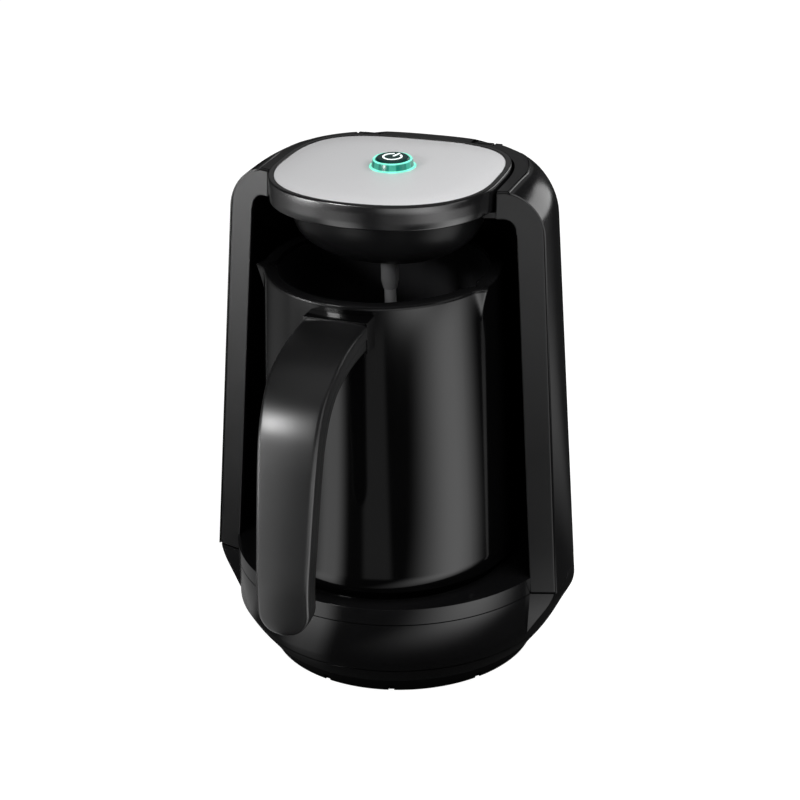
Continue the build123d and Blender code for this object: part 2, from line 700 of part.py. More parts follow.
def hinge_knuckles():
    """Barrels on the lid's back wall that turn on the hinge pins."""
    knuckles = []
    for side in (-1, 1):
        x = side * HINGE_X
        low_x = x - KNUCKLE_HALF
        high_x = x + KNUCKLE_HALF
        arm = block(low_x, high_x, 36.0, HINGE_Y, HINGE_Z - 2.6, WALL_TOP + 0.6)
        arm = arm - head_prism(TRIM_WIDTH + 0.02, 190, 230)
        knuckle = biggest(arm) + rod_along_x(low_x, high_x, HINGE_Y, HINGE_Z, KNUCKLE_RADIUS)
        knuckles.append(knuckle - rod_along_x(x - 9, x + 9, HINGE_Y, HINGE_Z, PIN_RADIUS + PIN_CLEARANCE))
    save("hinge_knuckles", *knuckles)


def probe_pieces():
    """Sensor rod in its sleeve, sealed where it passes through the dome."""
    round_end = at(0, PROBE_Y, ROD_BOTTOM + ROD_RADIUS) * Sphere(ROD_RADIUS)
    save("probe_rod", rod(0, PROBE_Y, ROD_BOTTOM + ROD_RADIUS, 205.0, ROD_RADIUS) + round_end)
    taper_top = SLEEVE_BOTTOM + SLEEVE_TAPER
    taper = Cone(ROD_RADIUS + 0.4, SLEEVE_RADIUS, SLEEVE_TAPER)
    sleeve = rod(0, PROBE_Y, taper_top, 196.0, SLEEVE_RADIUS) + rod(0, PROBE_Y, SEAL_TOP, SEAL_TOP + 1.5, 7.0)
    sleeve = sleeve + at(0, PROBE_Y, (taper_top + SLEEVE_BOTTOM) / 2) * taper
    save("probe_sleeve", sleeve - rod(0, PROBE_Y, 160, 200, ROD_RADIUS + 0.03))
    save("probe_seal", tube(0, PROBE_Y, SEAL_TOP - 1.5, SEAL_TOP, 6.4, SLEEVE_RADIUS))


# ---------------------------------------------------------------- button pieces
def button_pieces():
    cap = rod(0, BUTTON_Y, PLATE_TOP - 4.0, BUTTON_TOP, BUTTON_RADIUS)
    cap = chamfer(cap.edges().group_by(Axis.Z)[-1], 0.7)
    cap = cap - rod(0, BUTTON_Y, 200, BUTTON_TOP - 2.2, BUTTON_RADIUS - 1.4)
    save("button_cap", cap)
    stem = rod(0, BUTTON_Y, LED_BOARD_Z + 5.4, BUTTON_TOP - 2.2, 1.6)
    stem = stem + rod(0, BUTTON_Y, BUTTON_TOP - 3.4, BUTTON_TOP - 2.2, 5.6)
    save("button_stem", stem)
    arc_ring = tube(0, BUTTON_Y, BUTTON_TOP, BUTTON_TOP + 0.12, 3.3, 2.7)
    arc_ring = arc_ring - block(-1.1, 1.1, BUTTON_Y, BUTTON_Y + 5, BUTTON_TOP - 1, BUTTON_TOP + 1)
    bar = block(-0.32, 0.32, BUTTON_Y + 0.6, BUTTON_Y + 3.8, BUTTON_TOP, BUTTON_TOP + 0.12)
    save("power_symbol", arc_ring, bar)
    bottom = LED_BOARD_Z + 2.0
    height = BUTTON_TOP - 3.9 - bottom
    coil = Helix(pitch=height / 4, height=height, radius=4.6, center=(0, BUTTON_Y, bottom))
    wire = Plane(coil @ 0, z_dir=coil % 0) * Circle(0.35)
    save("button_spring", sweep(wire, path=coil, is_frenet=True))


# ---------------------------------------------------------------- jug pieces
def jug_shells():
    wall_top = JUG_TOP - RIM_HEIGHT - 0.05
    body = jug_form(0, JUG_BOTTOM, wall_top) - jug_form(JUG_WALL, JUG_BOTTOM - 1, wall_top + 1, 2)
    for x, y in jug_screw_places():
        lug = rod(x, y, 57.3, 64.5, 3.0) & jug_form(0.5, 56, 70)
        body = body + lug - rod(x, y, 50, 63.5, 1.2)
    save("jug_body", biggest(body))
    pot = jug_form(POT_INSET, POT_FLOOR - 1.5, wall_top)
    pot = pot - jug_form(POT_INSET + POT_WALL, POT_FLOOR, wall_top + 1, 2)
    save("jug_pot", biggest(pot))
    mouth = jug_form(POT_INSET + POT_WALL, wall_top - 1, JUG_TOP + 1, 2)
    save("rim_band", biggest(jug_form(0, wall_top + 0.05, JUG_TOP) - mouth))


def jug_screw_places():
    corners = [math.radians(angle) for angle in (90, 210, 330)]
    circle = JUG_SCREW_CIRCLE
    return [(circle * math.cos(angle), JUG_Y + circle * math.sin(angle)) for angle in corners]


def jug_base():
    """Foot that sits in the round seat, with a rim that closes the jug from below."""
    foot = tube(0, JUG_Y, JUG_FOOT_Z, 57.2, JUG_FOOT_RADIUS, JUG_FOOT_RADIUS - WALL)
    floor = tube(0, JUG_Y, JUG_FOOT_Z, JUG_FOOT_Z + WALL, JUG_FOOT_RADIUS, 13.1)
    rim = tube(0, JUG_Y, 55.2, 57.2, jug_radius(57) - JUG_WALL - 0.2, JUG_FOOT_RADIUS - WALL)
    base = foot + floor + rim
    for x, y in jug_screw_places():
        base = base - rod(x, y, 50, 60, 1.4)
    save("jug_base", base)


def jug_base_screws():
    places = jug_screw_places()
    save("jug_base_screws", *[head_on_screw(x, y, 55.2, -1, 1.9, 1.2, 1.15, 7.5) for x, y in places])


def jug_inside():
    save("jug_gasket", tube(0, JUG_Y, 57.2, 58.6, 50.0, 48.0))
    under_floor = POT_FLOOR - 1.5
    save("heater_plate", rod(0, JUG_Y, under_floor - 2.6, under_floor, 42.0))
    element = at(0, JUG_Y, under_floor - 5.8) * Torus(29.0, 3.2)
    save("heating_element", element)
    save("thermostat", block(-8, 8, JUG_Y + 2, JUG_Y + 18, under_floor - 5.8, under_floor - 2.6))
    socket = rod(0, JUG_Y, JUG_FOOT_Z + 0.4, 58.4, 13.0) + rod(0, JUG_Y, JUG_FOOT_Z + WALL, 50.2, 17.0)
    socket = socket - rod(0, JUG_Y, 40, 55.0, POST_RADIUS + 0.6)
    save("jug_connector", socket)


def handle_strip(outer_share, inner_share):
    """One of the handle's two shells, between two shares of its thickness."""
    first = []
    second = []
    for (oy, oz), (iy, iz) in zip(HANDLE_OUTER, HANDLE_INNER):
        first.append((oy + (iy - oy) * outer_share, oz + (iz - oz) * outer_share))
        second.append((oy + (iy - oy) * inner_share, oz + (iz - oz) * inner_share))
    tip = Polyline(first[-1], (first[-1][0], HANDLE_TIP), (second[-1][0], HANDLE_TIP), second[-1])
    root = Polyline(second[0], first[0])
    outline = Curve() + [Spline(*first), tip, Spline(*reversed(second)), root]
    return extrude(Plane.YZ * make_face(outline), amount=20, both=True)


def handle_front(shrink):
    """The handle seen from the front: tapering, with a round end."""
    right = [(half - shrink, z) for half, z in HANDLE_HALF]
    left = [(-x, z) for x, z in reversed(right)]
    tip = ThreePointArc(right[-1], (0, HANDLE_TIP), left[0])
    top = Line(left[-1], right[0])
    outline = Curve() + [Polyline(*right), tip, Polyline(*left), top]
    return extrude(Plane.XZ * make_face(outline), amount=200, both=True)


def handle_pieces():
    root_y = HANDLE_OUTER[0][0]
    bracket = block(-14, 14, root_y + 0.05, -50, HANDLE_INNER[0][1], HANDLE_OUTER[0][1] + 0.3)
    bracket = bracket - jug_form(-0.02, 150, 184) - block(-30, 30, JUG_Y - 45, 0, 100, 200)
    outer = handle_strip(0.0, HANDLE_SPLIT - SPLIT_GAP) & handle_front(0)
    inner = handle_strip(HANDLE_SPLIT + SPLIT_GAP, 1.0) & handle_front(0.5)
    z = HANDLE_SCREW_Z
    screws = []
    for x in (-HANDLE_SCREW_X, HANDLE_SCREW_X):
        head = rod_along_y(x, root_y - 10.4, root_y - 9, z, 2.4)
        screws.append(head + rod_along_y(x, root_y - 9, root_y + 5, z, 1.3))
        inner = inner - rod_along_y(x, root_y - 40, root_y - 9, z, 2.6)
        inner = inner - rod_along_y(x, root_y - 40, root_y + 9, z, 1.4)
        bracket = bracket - rod_along_y(x, root_y - 4, root_y + 5, z, 1.35)
    save("handle_bracket", biggest(bracket))
    save("handle_outer", biggest(outer))
    save("handle_inner", biggest(inner))
    save("handle_screws", *screws)


# ---------------------------------------------------------------- build
os.makedirs("parts", exist_ok=True)

covers_and_rear()
rear_screws()
arm_fronts()
cavity_liner()
top_deck()
lid_bumpers()
hinge_brackets()
hinge_pins()
jug_platform()
base_pieces()
rubber_feet()
base_screws()
power_board()
board_screws()
buzzer()
base_connector()
connector_contacts()
cord_inlet()
sensor_cable()

lid_shell()
lid_dome()
dome_screws()
plate_trim()
top_plate()
light_ring()
button_guide()
led_board()
board_clip_screws()
tact_switch()
hinge_knuckles()
probe_pieces()
button_pieces()

jug_shells()
jug_base()
jug_base_screws()
jug_inside()
handle_pieces()
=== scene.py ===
"""Finished looks of an electric turkish coffee maker, laid out as a Blender add-on and run as a script.

Metres, +Z up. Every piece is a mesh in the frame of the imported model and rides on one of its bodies.
"""
import json
import math

import bmesh
import bpy
from bpy.props import FloatProperty, FloatVectorProperty, PointerProperty
from mathutils import Matrix, Vector


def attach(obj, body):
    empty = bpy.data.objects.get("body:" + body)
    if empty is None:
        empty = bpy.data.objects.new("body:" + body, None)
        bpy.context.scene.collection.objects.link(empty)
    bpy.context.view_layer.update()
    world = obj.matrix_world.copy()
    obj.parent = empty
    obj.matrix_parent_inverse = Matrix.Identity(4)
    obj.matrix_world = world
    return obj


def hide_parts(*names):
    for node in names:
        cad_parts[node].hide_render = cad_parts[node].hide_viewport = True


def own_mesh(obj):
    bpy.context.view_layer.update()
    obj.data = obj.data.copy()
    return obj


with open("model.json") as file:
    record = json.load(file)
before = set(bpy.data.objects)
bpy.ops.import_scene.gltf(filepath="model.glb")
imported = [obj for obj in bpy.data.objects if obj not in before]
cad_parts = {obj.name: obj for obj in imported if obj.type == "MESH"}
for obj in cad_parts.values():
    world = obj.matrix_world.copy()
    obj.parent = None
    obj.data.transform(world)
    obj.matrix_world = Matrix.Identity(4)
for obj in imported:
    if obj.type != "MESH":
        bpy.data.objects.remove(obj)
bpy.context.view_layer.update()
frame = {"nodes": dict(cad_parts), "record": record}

bl_info = {
    "name": "Turkish Coffee Maker",
    "version": (1, 0, 0),
    "blender": (4, 5, 0),
    "location": "View3D > Sidebar > Coffee Maker",
    "description": "Builds the pieces of an electric turkish coffee maker and their finishes",
    "category": "Add Mesh",
}

MM = 0.001


# ---------------------------------------------------------------- settings a user may change
def length(name, description, millimetres):
    """A length setting, given here in millimetres."""
    return FloatProperty(name=name, description=description, default=millimetres * MM, precision=5,
                         unit="LENGTH", subtype="DISTANCE")


def angle(name, description, degrees):
    return FloatProperty(name=name, description=description, default=math.radians(degrees),
                         unit="ROTATION", subtype="ANGLE")


def colour(name, description, red, green, blue):
    return FloatVectorProperty(name=name, description=description, default=(red, green, blue),
                               size=3, min=0.0, max=1.0, subtype="COLOR")


class HousingSizes(bpy.types.PropertyGroup):
    """Sizes of the standing housing."""
    body_top: length("Body top", "Height of the side covers", 223.0)
    seam_z: length("Seam height", "Seam between the upper housing and the base", 41.8)
    high: length("High reference", "Upper height at which tapering widths are given", 200.0)
    low: length("Low reference", "Lower height at which tapering widths are given", 50.0)
    outer_high: length("Outer half width, high", "Half width over the covers at the high reference", 71.9)
    outer_low: length("Outer half width, low", "Half width over the covers at the low reference", 80.5)
    inner_high: length("Inner half width, high", "Half width between the arms at the high reference", 60.06)
    inner_low: length("Inner half width, low", "Half width between the arms at the low reference", 68.9)
    back_high: length("Back, high", "Back surface at the high reference", 55.64)
    back_low: length("Back, low", "Back surface at the low reference", 59.8)
    face_y: length("Face", "Front face of the arms at 120 mm height", -20.6)
    shoulder: length("Shoulder radius", "Rounding of the covers' top side edges", 20.0)
    back_round: length("Back radius", "Rounding of the top back edge", 6.0)
    ceiling_z: length("Arch ceiling", "Underside of the arch", 210.4)
    arch_round: length("Arch corner", "Radius of the arch's inner corners", 5.5)
    wall: length("Wall", "Thickness of the moulded covers", 2.2)
    lip: length("Lip", "Thickness of the covers at their front edge", 0.6)


class JugSizes(bpy.types.PropertyGroup):
    """Sizes of the jug and its handle."""
    axis_y: length("Axis", "How far the jug's axis stands in front of the base's", -12.7)
    radius_high: length("Radius, high", "Outside radius at 200 mm height", 50.48)
    radius_low: length("Radius, low", "Outside radius at 50 mm height", 57.43)
    bottom: length("Bottom", "Lower edge of the jug's wall", 54.7)
    top: length("Top", "Height of the rim", 185.0)
    spout_angle: angle("Spout angle", "Pouring lips, turned from the handle", 72.5)
    spout_reach: length("Spout reach", "How far the lips reach from the axis", 55.2)
    spout_low: length("Spout foot", "Where the lips grow out of the wall", 171.0)


class HeadSizes(bpy.types.PropertyGroup):
    """Sizes of the lid and its button."""
    centre_y: length("Centre", "Centre line of the lid's outline", -7.1)
    plate_half: length("Plate half width", "Half width of the silver plate", 47.45)
    plate_front: length("Plate front", "Reach of the plate to the front", 40.9)
    plate_back: length("Plate back", "Reach of the plate to the back", 45.6)
    trim: length("Trim width", "Black ring round the plate", 2.55)
    plate_top: length("Plate top", "Height of the plate", 224.0)
    button_y: length("Button place", "Centre of the button", 1.5)
    wall_bottom: length("Wall bottom", "Lower edge of the lid's side wall", 213.4)
    wall_top: length("Wall top", "Upper edge of the lid's side wall", 220.4)


class FinishColours(bpy.types.PropertyGroup):
    """Colours of the finishes."""
    cover: colour("Cover", "Glossy moulded covers", 0.0045, 0.0045, 0.0048)
    face: colour("Face", "Satin faces of the arms", 0.005, 0.005, 0.0053)
    jug: colour("Jug", "Glossy jug", 0.0012, 0.0012, 0.0013)
    handle: colour("Handle", "Handle shells", 0.004, 0.004, 0.0042)
    plate: colour("Plate", "Silver plate", 0.8, 0.8, 0.81)
    glow: colour("Glow", "Light of the button's ring", 0.0, 0.62, 0.45)
    rubber: colour("Rubber", "Feet and bumpers", 0.02, 0.02, 0.02)
    steel: colour("Steel", "Screws and pins", 0.5, 0.5, 0.51)


# ---------------------------------------------------------------- shader maths and nodes
class Value:
    """A number's socket that takes part in ordinary arithmetic; each operation adds a Math node."""

    def __init__(self, shader, socket):
        self.shader = shader
        self.socket = socket

    def math(self, operation, first, second):
        return self.shader.value(self.shader.math(operation, first, second))

    def __add__(self, other):
        return self.math("ADD", self, other)

    def __radd__(self, other):
        return self.math("ADD", other, self)

    def __sub__(self, other):
        return self.math("SUBTRACT", self, other)

    def __rsub__(self, other):
        return self.math("SUBTRACT", other, self)

    def __mul__(self, other):
        return self.math("MULTIPLY", self, other)

    def __rmul__(self, other):
        return self.math("MULTIPLY", other, self)

    def __truediv__(self, other):
        return self.math("DIVIDE", self, other)

    def __rtruediv__(self, other):
        return self.math("DIVIDE", other, self)


class Nodes:
    """A node tree with one way of adding nodes."""

    def __init__(self, tree):
        self.tree = tree

    def add(self, kind, settings=None, inputs=None):
        """A node by its type, with its settings and then the values or links of its inputs."""
        node = self.tree.nodes.new(kind)
        for key, value in (settings or {}).items():
            setattr(node, key, value)
        for key, value in (inputs or {}).items():
            self.feed(node.inputs[key], value)
        return node

    def feed(self, socket, value):
        if isinstance(value, Value):
            self.tree.links.new(value.socket, socket)
        elif isinstance(value, bpy.types.NodeSocket):
            self.tree.links.new(value, socket)
        else:
            socket.default_value = value

    def math(self, operation, *values):
        """The result of a Math node."""
        return self.add("ShaderNodeMath", {"operation": operation}, dict(enumerate(values))).outputs[0]


class Shader(Nodes):
    """A material and its node tree."""

    def __init__(self, name):
        self.material = bpy.data.materials.new(name)
        self.material.use_nodes = True
        super().__init__(self.material.node_tree)
        self.surface = self.tree.nodes["Principled BSDF"]

    def value(self, socket):
        return Value(self, socket)

    def place(self):
        return self.add("ShaderNodeTexCoord").outputs["Object"]

    def noise(self, scale, detail=3.0, rough=0.5, stretch=None):
        """Noise from 0 to 1 on Object coordinates, with scale in cycles per metre."""
        where = self.place()
        if stretch:
            where = self.add("ShaderNodeMapping", None, {"Vector": where, "Scale": stretch}).outputs[0]
        inputs = {"Vector": where, "Scale": scale, "Detail": detail, "Roughness": rough}
        return self.value(self.add("ShaderNodeTexNoise", None, inputs).outputs["Fac"])

    def step(self, value, start, end):
        """0 before start, 1 after end, smooth between; start may be the larger."""
        node = self.add("ShaderNodeMapRange", {"interpolation_type": "SMOOTHSTEP"},
                        {0: value, 1: start, 2: end})
        return self.value(node.outputs[0])

    def band(self, value, start, full, fading, end):
        """0 outside start and end, 1 between full and fading."""
        return self.step(value, start, full) * self.step(value, end, fading)

    def one_of(self, operation, *values):
        """A Math operation that Python has no operator for."""
        return self.value(self.math(operation, *values))

    def axes(self):
        """X, Y and Z of the place on the piece."""
        split = self.add("ShaderNodeSeparateXYZ", None, {0: self.place()})
        return [self.value(split.outputs[axis]) for axis in range(3)]

    def bump(self, height, distance, strength=1.0, below=None):
        inputs = {"Height": height, "Distance": distance, "Strength": strength}
        if below is not None:
            inputs["Normal"] = below
        return self.add("ShaderNodeBump", None, inputs).outputs["Normal"]

    def mix(self, factor, first, second):
        """Mixes two colours by a factor."""
        node = self.add("ShaderNodeMix", {"data_type": "RGBA"}, {0: factor, 6: first, 7: second})
        return node.outputs[2]

    def set(self, **sockets):
        """Feeds the Principled shader; underscores in names stand for spaces."""
        for name, value in sockets.items():
            self.feed(self.surface.inputs[name.replace("_", " ")], value)


def rgba(values, factor=1.0):
    return (*(min(value * factor, 1.0) for value in values), 1.0)


def moulded(name, base, rough, rough_change=0.06, depth=0.004, specular=0.25):
    """Moulded plastic: a fine grain, faint flow waves and a slightly uneven gloss; depth in millimetres."""
    shader = Shader(name)
    cloud = shader.noise(38.0, 4.0, 0.55)
    fine = shader.noise(2600.0, 2.0, 0.6)
    flow_lines = shader.noise(60.0, 2.0, 0.5, (1.0, 1.0, 0.25))
    waves = shader.bump(flow_lines, 0.02 * MM, 0.5)
    normal = shader.bump(fine, depth * MM, 0.6, waves)
    tint = shader.mix(cloud, rgba(base, 0.8), rgba(base, 1.25))
    shader.set(Base_Color=tint, Roughness=rough + (cloud - 0.5) * rough_change * 2, Normal=normal)
    shader.set(Specular_IOR_Level=specular)
    return shader.material


def metal(name, base, rough, scratch=(1.0, 1.0, 1.0), scale=900.0, metallic=1.0):
    """Plain or brushed metal with fine scratches."""
    shader = Shader(name)
    lines = shader.noise(scale, 3.0, 0.65, scratch)
    cloud = shader.noise(45.0, 3.0, 0.5)
    tint = shader.mix(lines, rgba(base, 0.85), rgba(base, 1.15))
    shader.set(Base_Color=tint, Roughness=rough + (lines - 0.5) * 0.12 + (cloud - 0.5) * 0.08,
               Metallic=metallic, Normal=shader.bump(lines, 0.004 * MM, 0.5))
    return shader.material


def silver_paint(name, base):
    """Satin silver paint: fine flakes that catch the light one by one, and a painted highlight that makes it
    paler to the right and front.
    """
    shader = Shader(name)
    flakes = shader.add("ShaderNodeTexVoronoi", {"feature": "F1"},
                        {"Vector": shader.place(), "Scale": 5200.0})
    grain = shader.noise(1500.0, 3.0, 0.6)
    cloud = shader.noise(26.0, 2.0, 0.5)
    speck = shader.mix(shader.value(flakes.outputs["Distance"]), rgba(base, 1.12), rgba(base, 0.9))
    tint = shader.mix(cloud * 0.25, speck, rgba(base, 1.05))
    across, along, _ = shader.axes()
    # painted highlight: the colour grows paler to the right and to the front, standing in for light falling
    # on the plate
    painted_sheen = across * 10.5 + along * -4.0 + 0.55
    tint = shader.mix(painted_sheen, shader.mix(0.5, tint, rgba(base, 0.68)), tint)
    shader.set(Base_Color=tint, Roughness=0.36 + (grain - 0.5) * 0.12, Metallic=0.15 + grain * 0.2,
               Normal=shader.bump(grain, 0.006 * MM, 0.45))
    return shader.material


def glowing(name, base, centre, rim_z, foot_z, strength):
    """Clear ring lit from below: bright along its rim and its foot, with dark facets between."""
    shader = Shader(name)
    across, along, up = shader.axes()
    turn = shader.one_of("ARCTAN2", across, along - centre)
    facets = shader.step(shader.one_of("SINE", turn * 7.0 + 0.8), 0.1, 0.6)
    grain = shader.noise(900.0, 2.0, 0.5)
    rim = shader.step(up, rim_z - 0.0006, rim_z - 0.0002)
    foot = shader.step(up, foot_z + 0.0005, foot_z + 0.0002)
    level = rim * 0.85 + foot * 0.8 + facets * 0.17 + grain * 0.08
    light = shader.mix(level, rgba(base, 0.12), (0.33, 1.0, 0.76, 1.0))
    shader.set(Base_Color=shader.mix(level, rgba(base, 0.15), rgba(base, 0.5)), Emission_Color=light,
               Roughness=0.18 + grain * 0.1)
    shader.set(Emission_Strength=strength, Specular_IOR_Level=0.5)
    return shader.material


def lit_white(name):
    shader = Shader(name)
    grain = shader.noise(2200.0, 2.0, 0.5)
    tint = shader.mix(grain, (0.75, 0.88, 0.86, 1.0), (0.95, 1.0, 0.99, 1.0))
    shader.set(Base_Color=tint, Emission_Color=tint, Roughness=0.4 + grain * 0.1)
    shader.set(Emission_Strength=0.75)
    return shader.material


def circuit_green(name):
    shader = Shader(name)
    tracks = shader.add("ShaderNodeTexBrick", {"offset": 0.5},
                        {"Vector": shader.place(), "Scale": 240.0, "Mortar Size": 0.03,
                         "Color1": (0.02, 0.16, 0.07, 1.0), "Color2": (0.025, 0.2, 0.085, 1.0),
                         "Mortar": (0.05, 0.32, 0.14, 1.0)})
    grain = shader.noise(700.0, 3.0, 0.5)
    shader.set(Base_Color=tracks.outputs["Color"], Roughness=0.35 + grain * 0.15)
    return shader.material


def make_finishes(colours):
    """Every material by its slot name."""
    cover, face, jug, handle, steel = (tuple(getattr(colours, key))
                                       for key in ("cover", "face", "jug", "handle", "steel"))
    return {
        "cover_black": moulded("cover_black", cover, 0.17, specular=0.5),
        "face_black": moulded("face_black", face, 0.32, depth=0.006, specular=0.4),
        "inner_black": moulded("inner_black", jug, 0.4, specular=0.25),
        "head_black": moulded("head_black", face, 0.2, depth=0.004, specular=1.0),
        "bowl_black": moulded("bowl_black", face, 0.3, depth=0.004, specular=0.2),
        "jug_black": moulded("jug_black", jug, 0.1, 0.02, depth=0.0015, specular=0.5),
        "rim_black": moulded("rim_black", (0.004, 0.004, 0.0042), 0.2, specular=0.2),
        "handle_black": moulded("handle_black", handle, 0.34, specular=0.85),
        "pot_coating": metal("pot_coating", (0.03, 0.03, 0.032), 0.34, (1.0, 1.0, 0.08), 500.0, 0.3),
        "plate_silver": silver_paint("plate_silver", tuple(colours.plate)),
        "ring_glow": glowing("ring_glow", tuple(colours.glow), 0.0015, 0.2274, 0.224, 1.0),
        "button_dark": moulded("button_dark", (0.004, 0.03, 0.027), 0.2, specular=0.4),
        "symbol_white": lit_white("symbol_white"),
        "foot_rubber": moulded("foot_rubber", tuple(colours.rubber), 0.62, depth=0.02, specular=0.2),
        "seal_silicone": moulded("seal_silicone", (0.3, 0.3, 0.29), 0.5),
        "screw_steel": metal("screw_steel", steel, 0.32),
        "spring_steel": metal("spring_steel", steel, 0.25),
        "probe_steel": metal("probe_steel", (0.3, 0.3, 0.305), 0.35, (1.0, 1.0, 0.1), metallic=0.4),
        "probe_black": moulded("probe_black", (0.16, 0.16, 0.163), 0.35, specular=0.5),
        "heater_metal": metal("heater_metal", (0.55, 0.55, 0.56), 0.4),
        "contact_brass": metal("contact_brass", (0.72, 0.55, 0.25), 0.28),
        "board_green": circuit_green("board_green"),
        "part_plastic": moulded("part_plastic", (0.025, 0.025, 0.027), 0.4),
        "cable_black": moulded("cable_black", (0.02, 0.02, 0.02), 0.5),
    }


# ---------------------------------------------------------------- meshes
def link(name, data):
    """A new object in the scene for a mesh, a lamp or a camera."""
    item = bpy.data.objects.new(name, data)
    bpy.context.scene.collection.objects.link(item)
    return item


def opened(mesh, merge):
    """An editable form of a mesh, with doubles closer than a distance in millimetres merged."""
    work = bmesh.new()
    work.from_mesh(mesh)
    bmesh.ops.remove_doubles(work, verts=work.verts, dist=merge * MM)
    bmesh.ops.dissolve_degenerate(work, edges=work.edges, dist=merge * MM / 2)
    return work


def shaded(work, mesh, sharp):
    """Shades smooth up to an edge angle and writes the edited form back into the mesh."""
    for item in work.faces:
        item.smooth = True
    for edge in work.edges:
        if len(edge.link_faces) == 2:
            edge.smooth = edge.calc_face_angle(0.0) < math.radians(sharp)
    work.to_mesh(mesh)
    work.free()


def cleaned(mesh, sharp=48.0):
    """Merges doubles, turns the faces outwards and shades smooth up to an edge angle."""
    work = opened(mesh, 0.002)
    bmesh.ops.recalc_face_normals(work, faces=work.faces)
    shaded(work, mesh, sharp)
    return mesh


def made(name, points, faces):
    """A piece from points in millimetres."""
    mesh = bpy.data.meshes.new(name)
    mesh.from_pydata([(x * MM, y * MM, z * MM) for x, y, z in points], [], faces)
    return link(name, cleaned(mesh))


def tube_of_rings(name, rings, joined=False):
    """A solid through rings of equal counts; its ends are joined to each other or else capped."""
    count = len(rings[0])
    total = len(rings)
    points = [point for ring in rings for point in ring]
    faces = []
    for row in range(total if joined else total - 1):
        here = row * count
        there = ((row + 1) % total) * count
        for column in range(count):
            beside = (column + 1) % count
            faces.append((here + column, here + beside, there + beside, there + column))
    if not joined:
        faces.append(tuple(reversed(range(count))))
        faces.append(tuple(range((total - 1) * count, total * count)))
    return made(name, points, faces)


def slab(name, outer, inner):
    """A curved plate between two grids of rows with the same counts."""
    rows = len(outer)
    columns = len(outer[0])
    points = [point for row in outer for point in row] + [point for row in inner for point in row]
    back = rows * columns
    faces = []
    for row in range(rows - 1):
        for column in range(columns - 1):
            a = row * columns + column
            b = a + columns
            faces.append((a, a + 1, b + 1, b))
            faces.append((a + back, b + back, b + 1 + back, a + 1 + back))
    edge = list(range(columns)) + [row * columns + columns - 1 for row in range(1, rows)]
    edge += [(rows - 1) * columns + column for column in range(columns - 2, -1, -1)]
    edge += [row * columns for row in range(rows - 2, 0, -1)]
    for here, there in zip(edge, edge[1:] + edge[:1]):
        faces.append((here, here + back, there + back, there))
    return made(name, points, faces)


def bevelled(piece, width, segments=3, limit=32.0):
    """Rounds the real edges of a piece and keeps its broad faces true in shading."""
    rounding = piece.modifiers.new("rounded edges", "BEVEL")
    rounding.width = width * MM
    rounding.segments = segments
    rounding.limit_method = "ANGLE"
    rounding.angle_limit = math.radians(limit)
    rounding.harden_normals = True
    rounding.miter_outer = "MITER_ARC"
    return piece


def finished(piece, body, slot, *nodes, finish=None):
    """Gives a piece its finish and its place among the bodies."""
    piece.data.materials.clear()
    piece.data.materials.append(FINISHES[finish or slot])
    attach(piece, body)
    if nodes:
        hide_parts(*nodes)
    return piece


def cut_back(work, place, normal):
    """Takes away what lies on the side of a plane that its normal points to, and closes the cut."""
    everything = work.verts[:] + work.edges[:] + work.faces[:]
    cut = bmesh.ops.bisect_plane(work, geom=everything, dist=0.002 * MM, plane_co=place, plane_no=normal,
                                 clear_outer=True)
    edges = [item for item in cut["geom_cut"] if isinstance(item, bmesh.types.BMEdge)]
    bmesh.ops.holes_fill(work, edges=edges, sides=0)


def deck_cuts():
    """Two planes just behind the arms' faces, for the strip round the lid."""
    form = HOUSING
    z = 220.0
    x = form.taper("inner", z)
    for side in (-1, 1):
        place = Vector((side * x, form.face(x, z) + form.wall + GAP, z)) * MM
        yield place, Vector((side * form.SPLAY, -1.0, form.SLOPE)).normalized()


def cheek_cuts():
    """A level plane that keeps the hinge cheeks under the head's outline."""
    yield Vector((0.0, 0.0, CHEEK_TOP)) * MM, Vector((0.0, 0.0, 1.0))


CUTS = {"top_deck": deck_cuts, "hinge_brackets": cheek_cuts}


def dressed_copy(node, body, slot, rounding=0.0, sharp=28.0):
    """A clean copy of a CAD solid: flat faces whole, round faces smooth, edges a little rounded."""
    mesh = frame["nodes"][node].data.copy()
    work = opened(mesh, 0.001)
    if node in CUTS:
        for place, normal in CUTS[node]():
            cut_back(work, place, normal)
    if rounding:
        bmesh.ops.dissolve_limit(work, angle_limit=math.radians(0.4), verts=work.verts, edges=work.edges)
    shaded(work, mesh, sharp)
    if "custom_normal" in mesh.attributes:
        mesh.attributes.remove(mesh.attributes["custom_normal"])
    mesh.name = node + "_finished"
    piece = link(node + "_finished", mesh)
    if rounding:
        bevelled(piece, rounding, 2)
    return finished(piece, body, slot, node, finish=OTHER_FINISH.get(node))


FINISHES = {}       # materials by slot name, made by main


def slots_of_record():
    """The slot of every CAD node."""
    return {part["node"]: part["material_slot"] for part in frame["record"]["subparts"]}


def bodies_of_record():
    """The body of every CAD node."""
    return {node: body for body, nodes in frame["record"]["behaviour"]["bodies"].items() for node in nodes}


# ---------------------------------------------------------------- outlines that several pieces share
def arc_share(steps):
    """Half turn in even steps, as angles."""
    return [math.pi * step / steps for step in range(steps + 1)]


def on_power(half, depth, power, centre, turn):
    """A point on half a superellipse; depth below zero gives the -Y side."""
    cosine = math.cos(turn)
    x = half * math.copysign(abs(cosine) ** (2 / power), cosine)
    return x, centre + depth * abs(math.sin(turn)) ** (2 / power)


class Sizes:
    """A property group's lengths in millimetres and its angles in degrees."""

    def __init__(self, group):
        for key in group.__annotations__:
            unit = group.bl_rna.properties[key].unit
            value = getattr(group, key)
            setattr(self, key, math.degrees(value) if unit == "ROTATION" else value / MM)


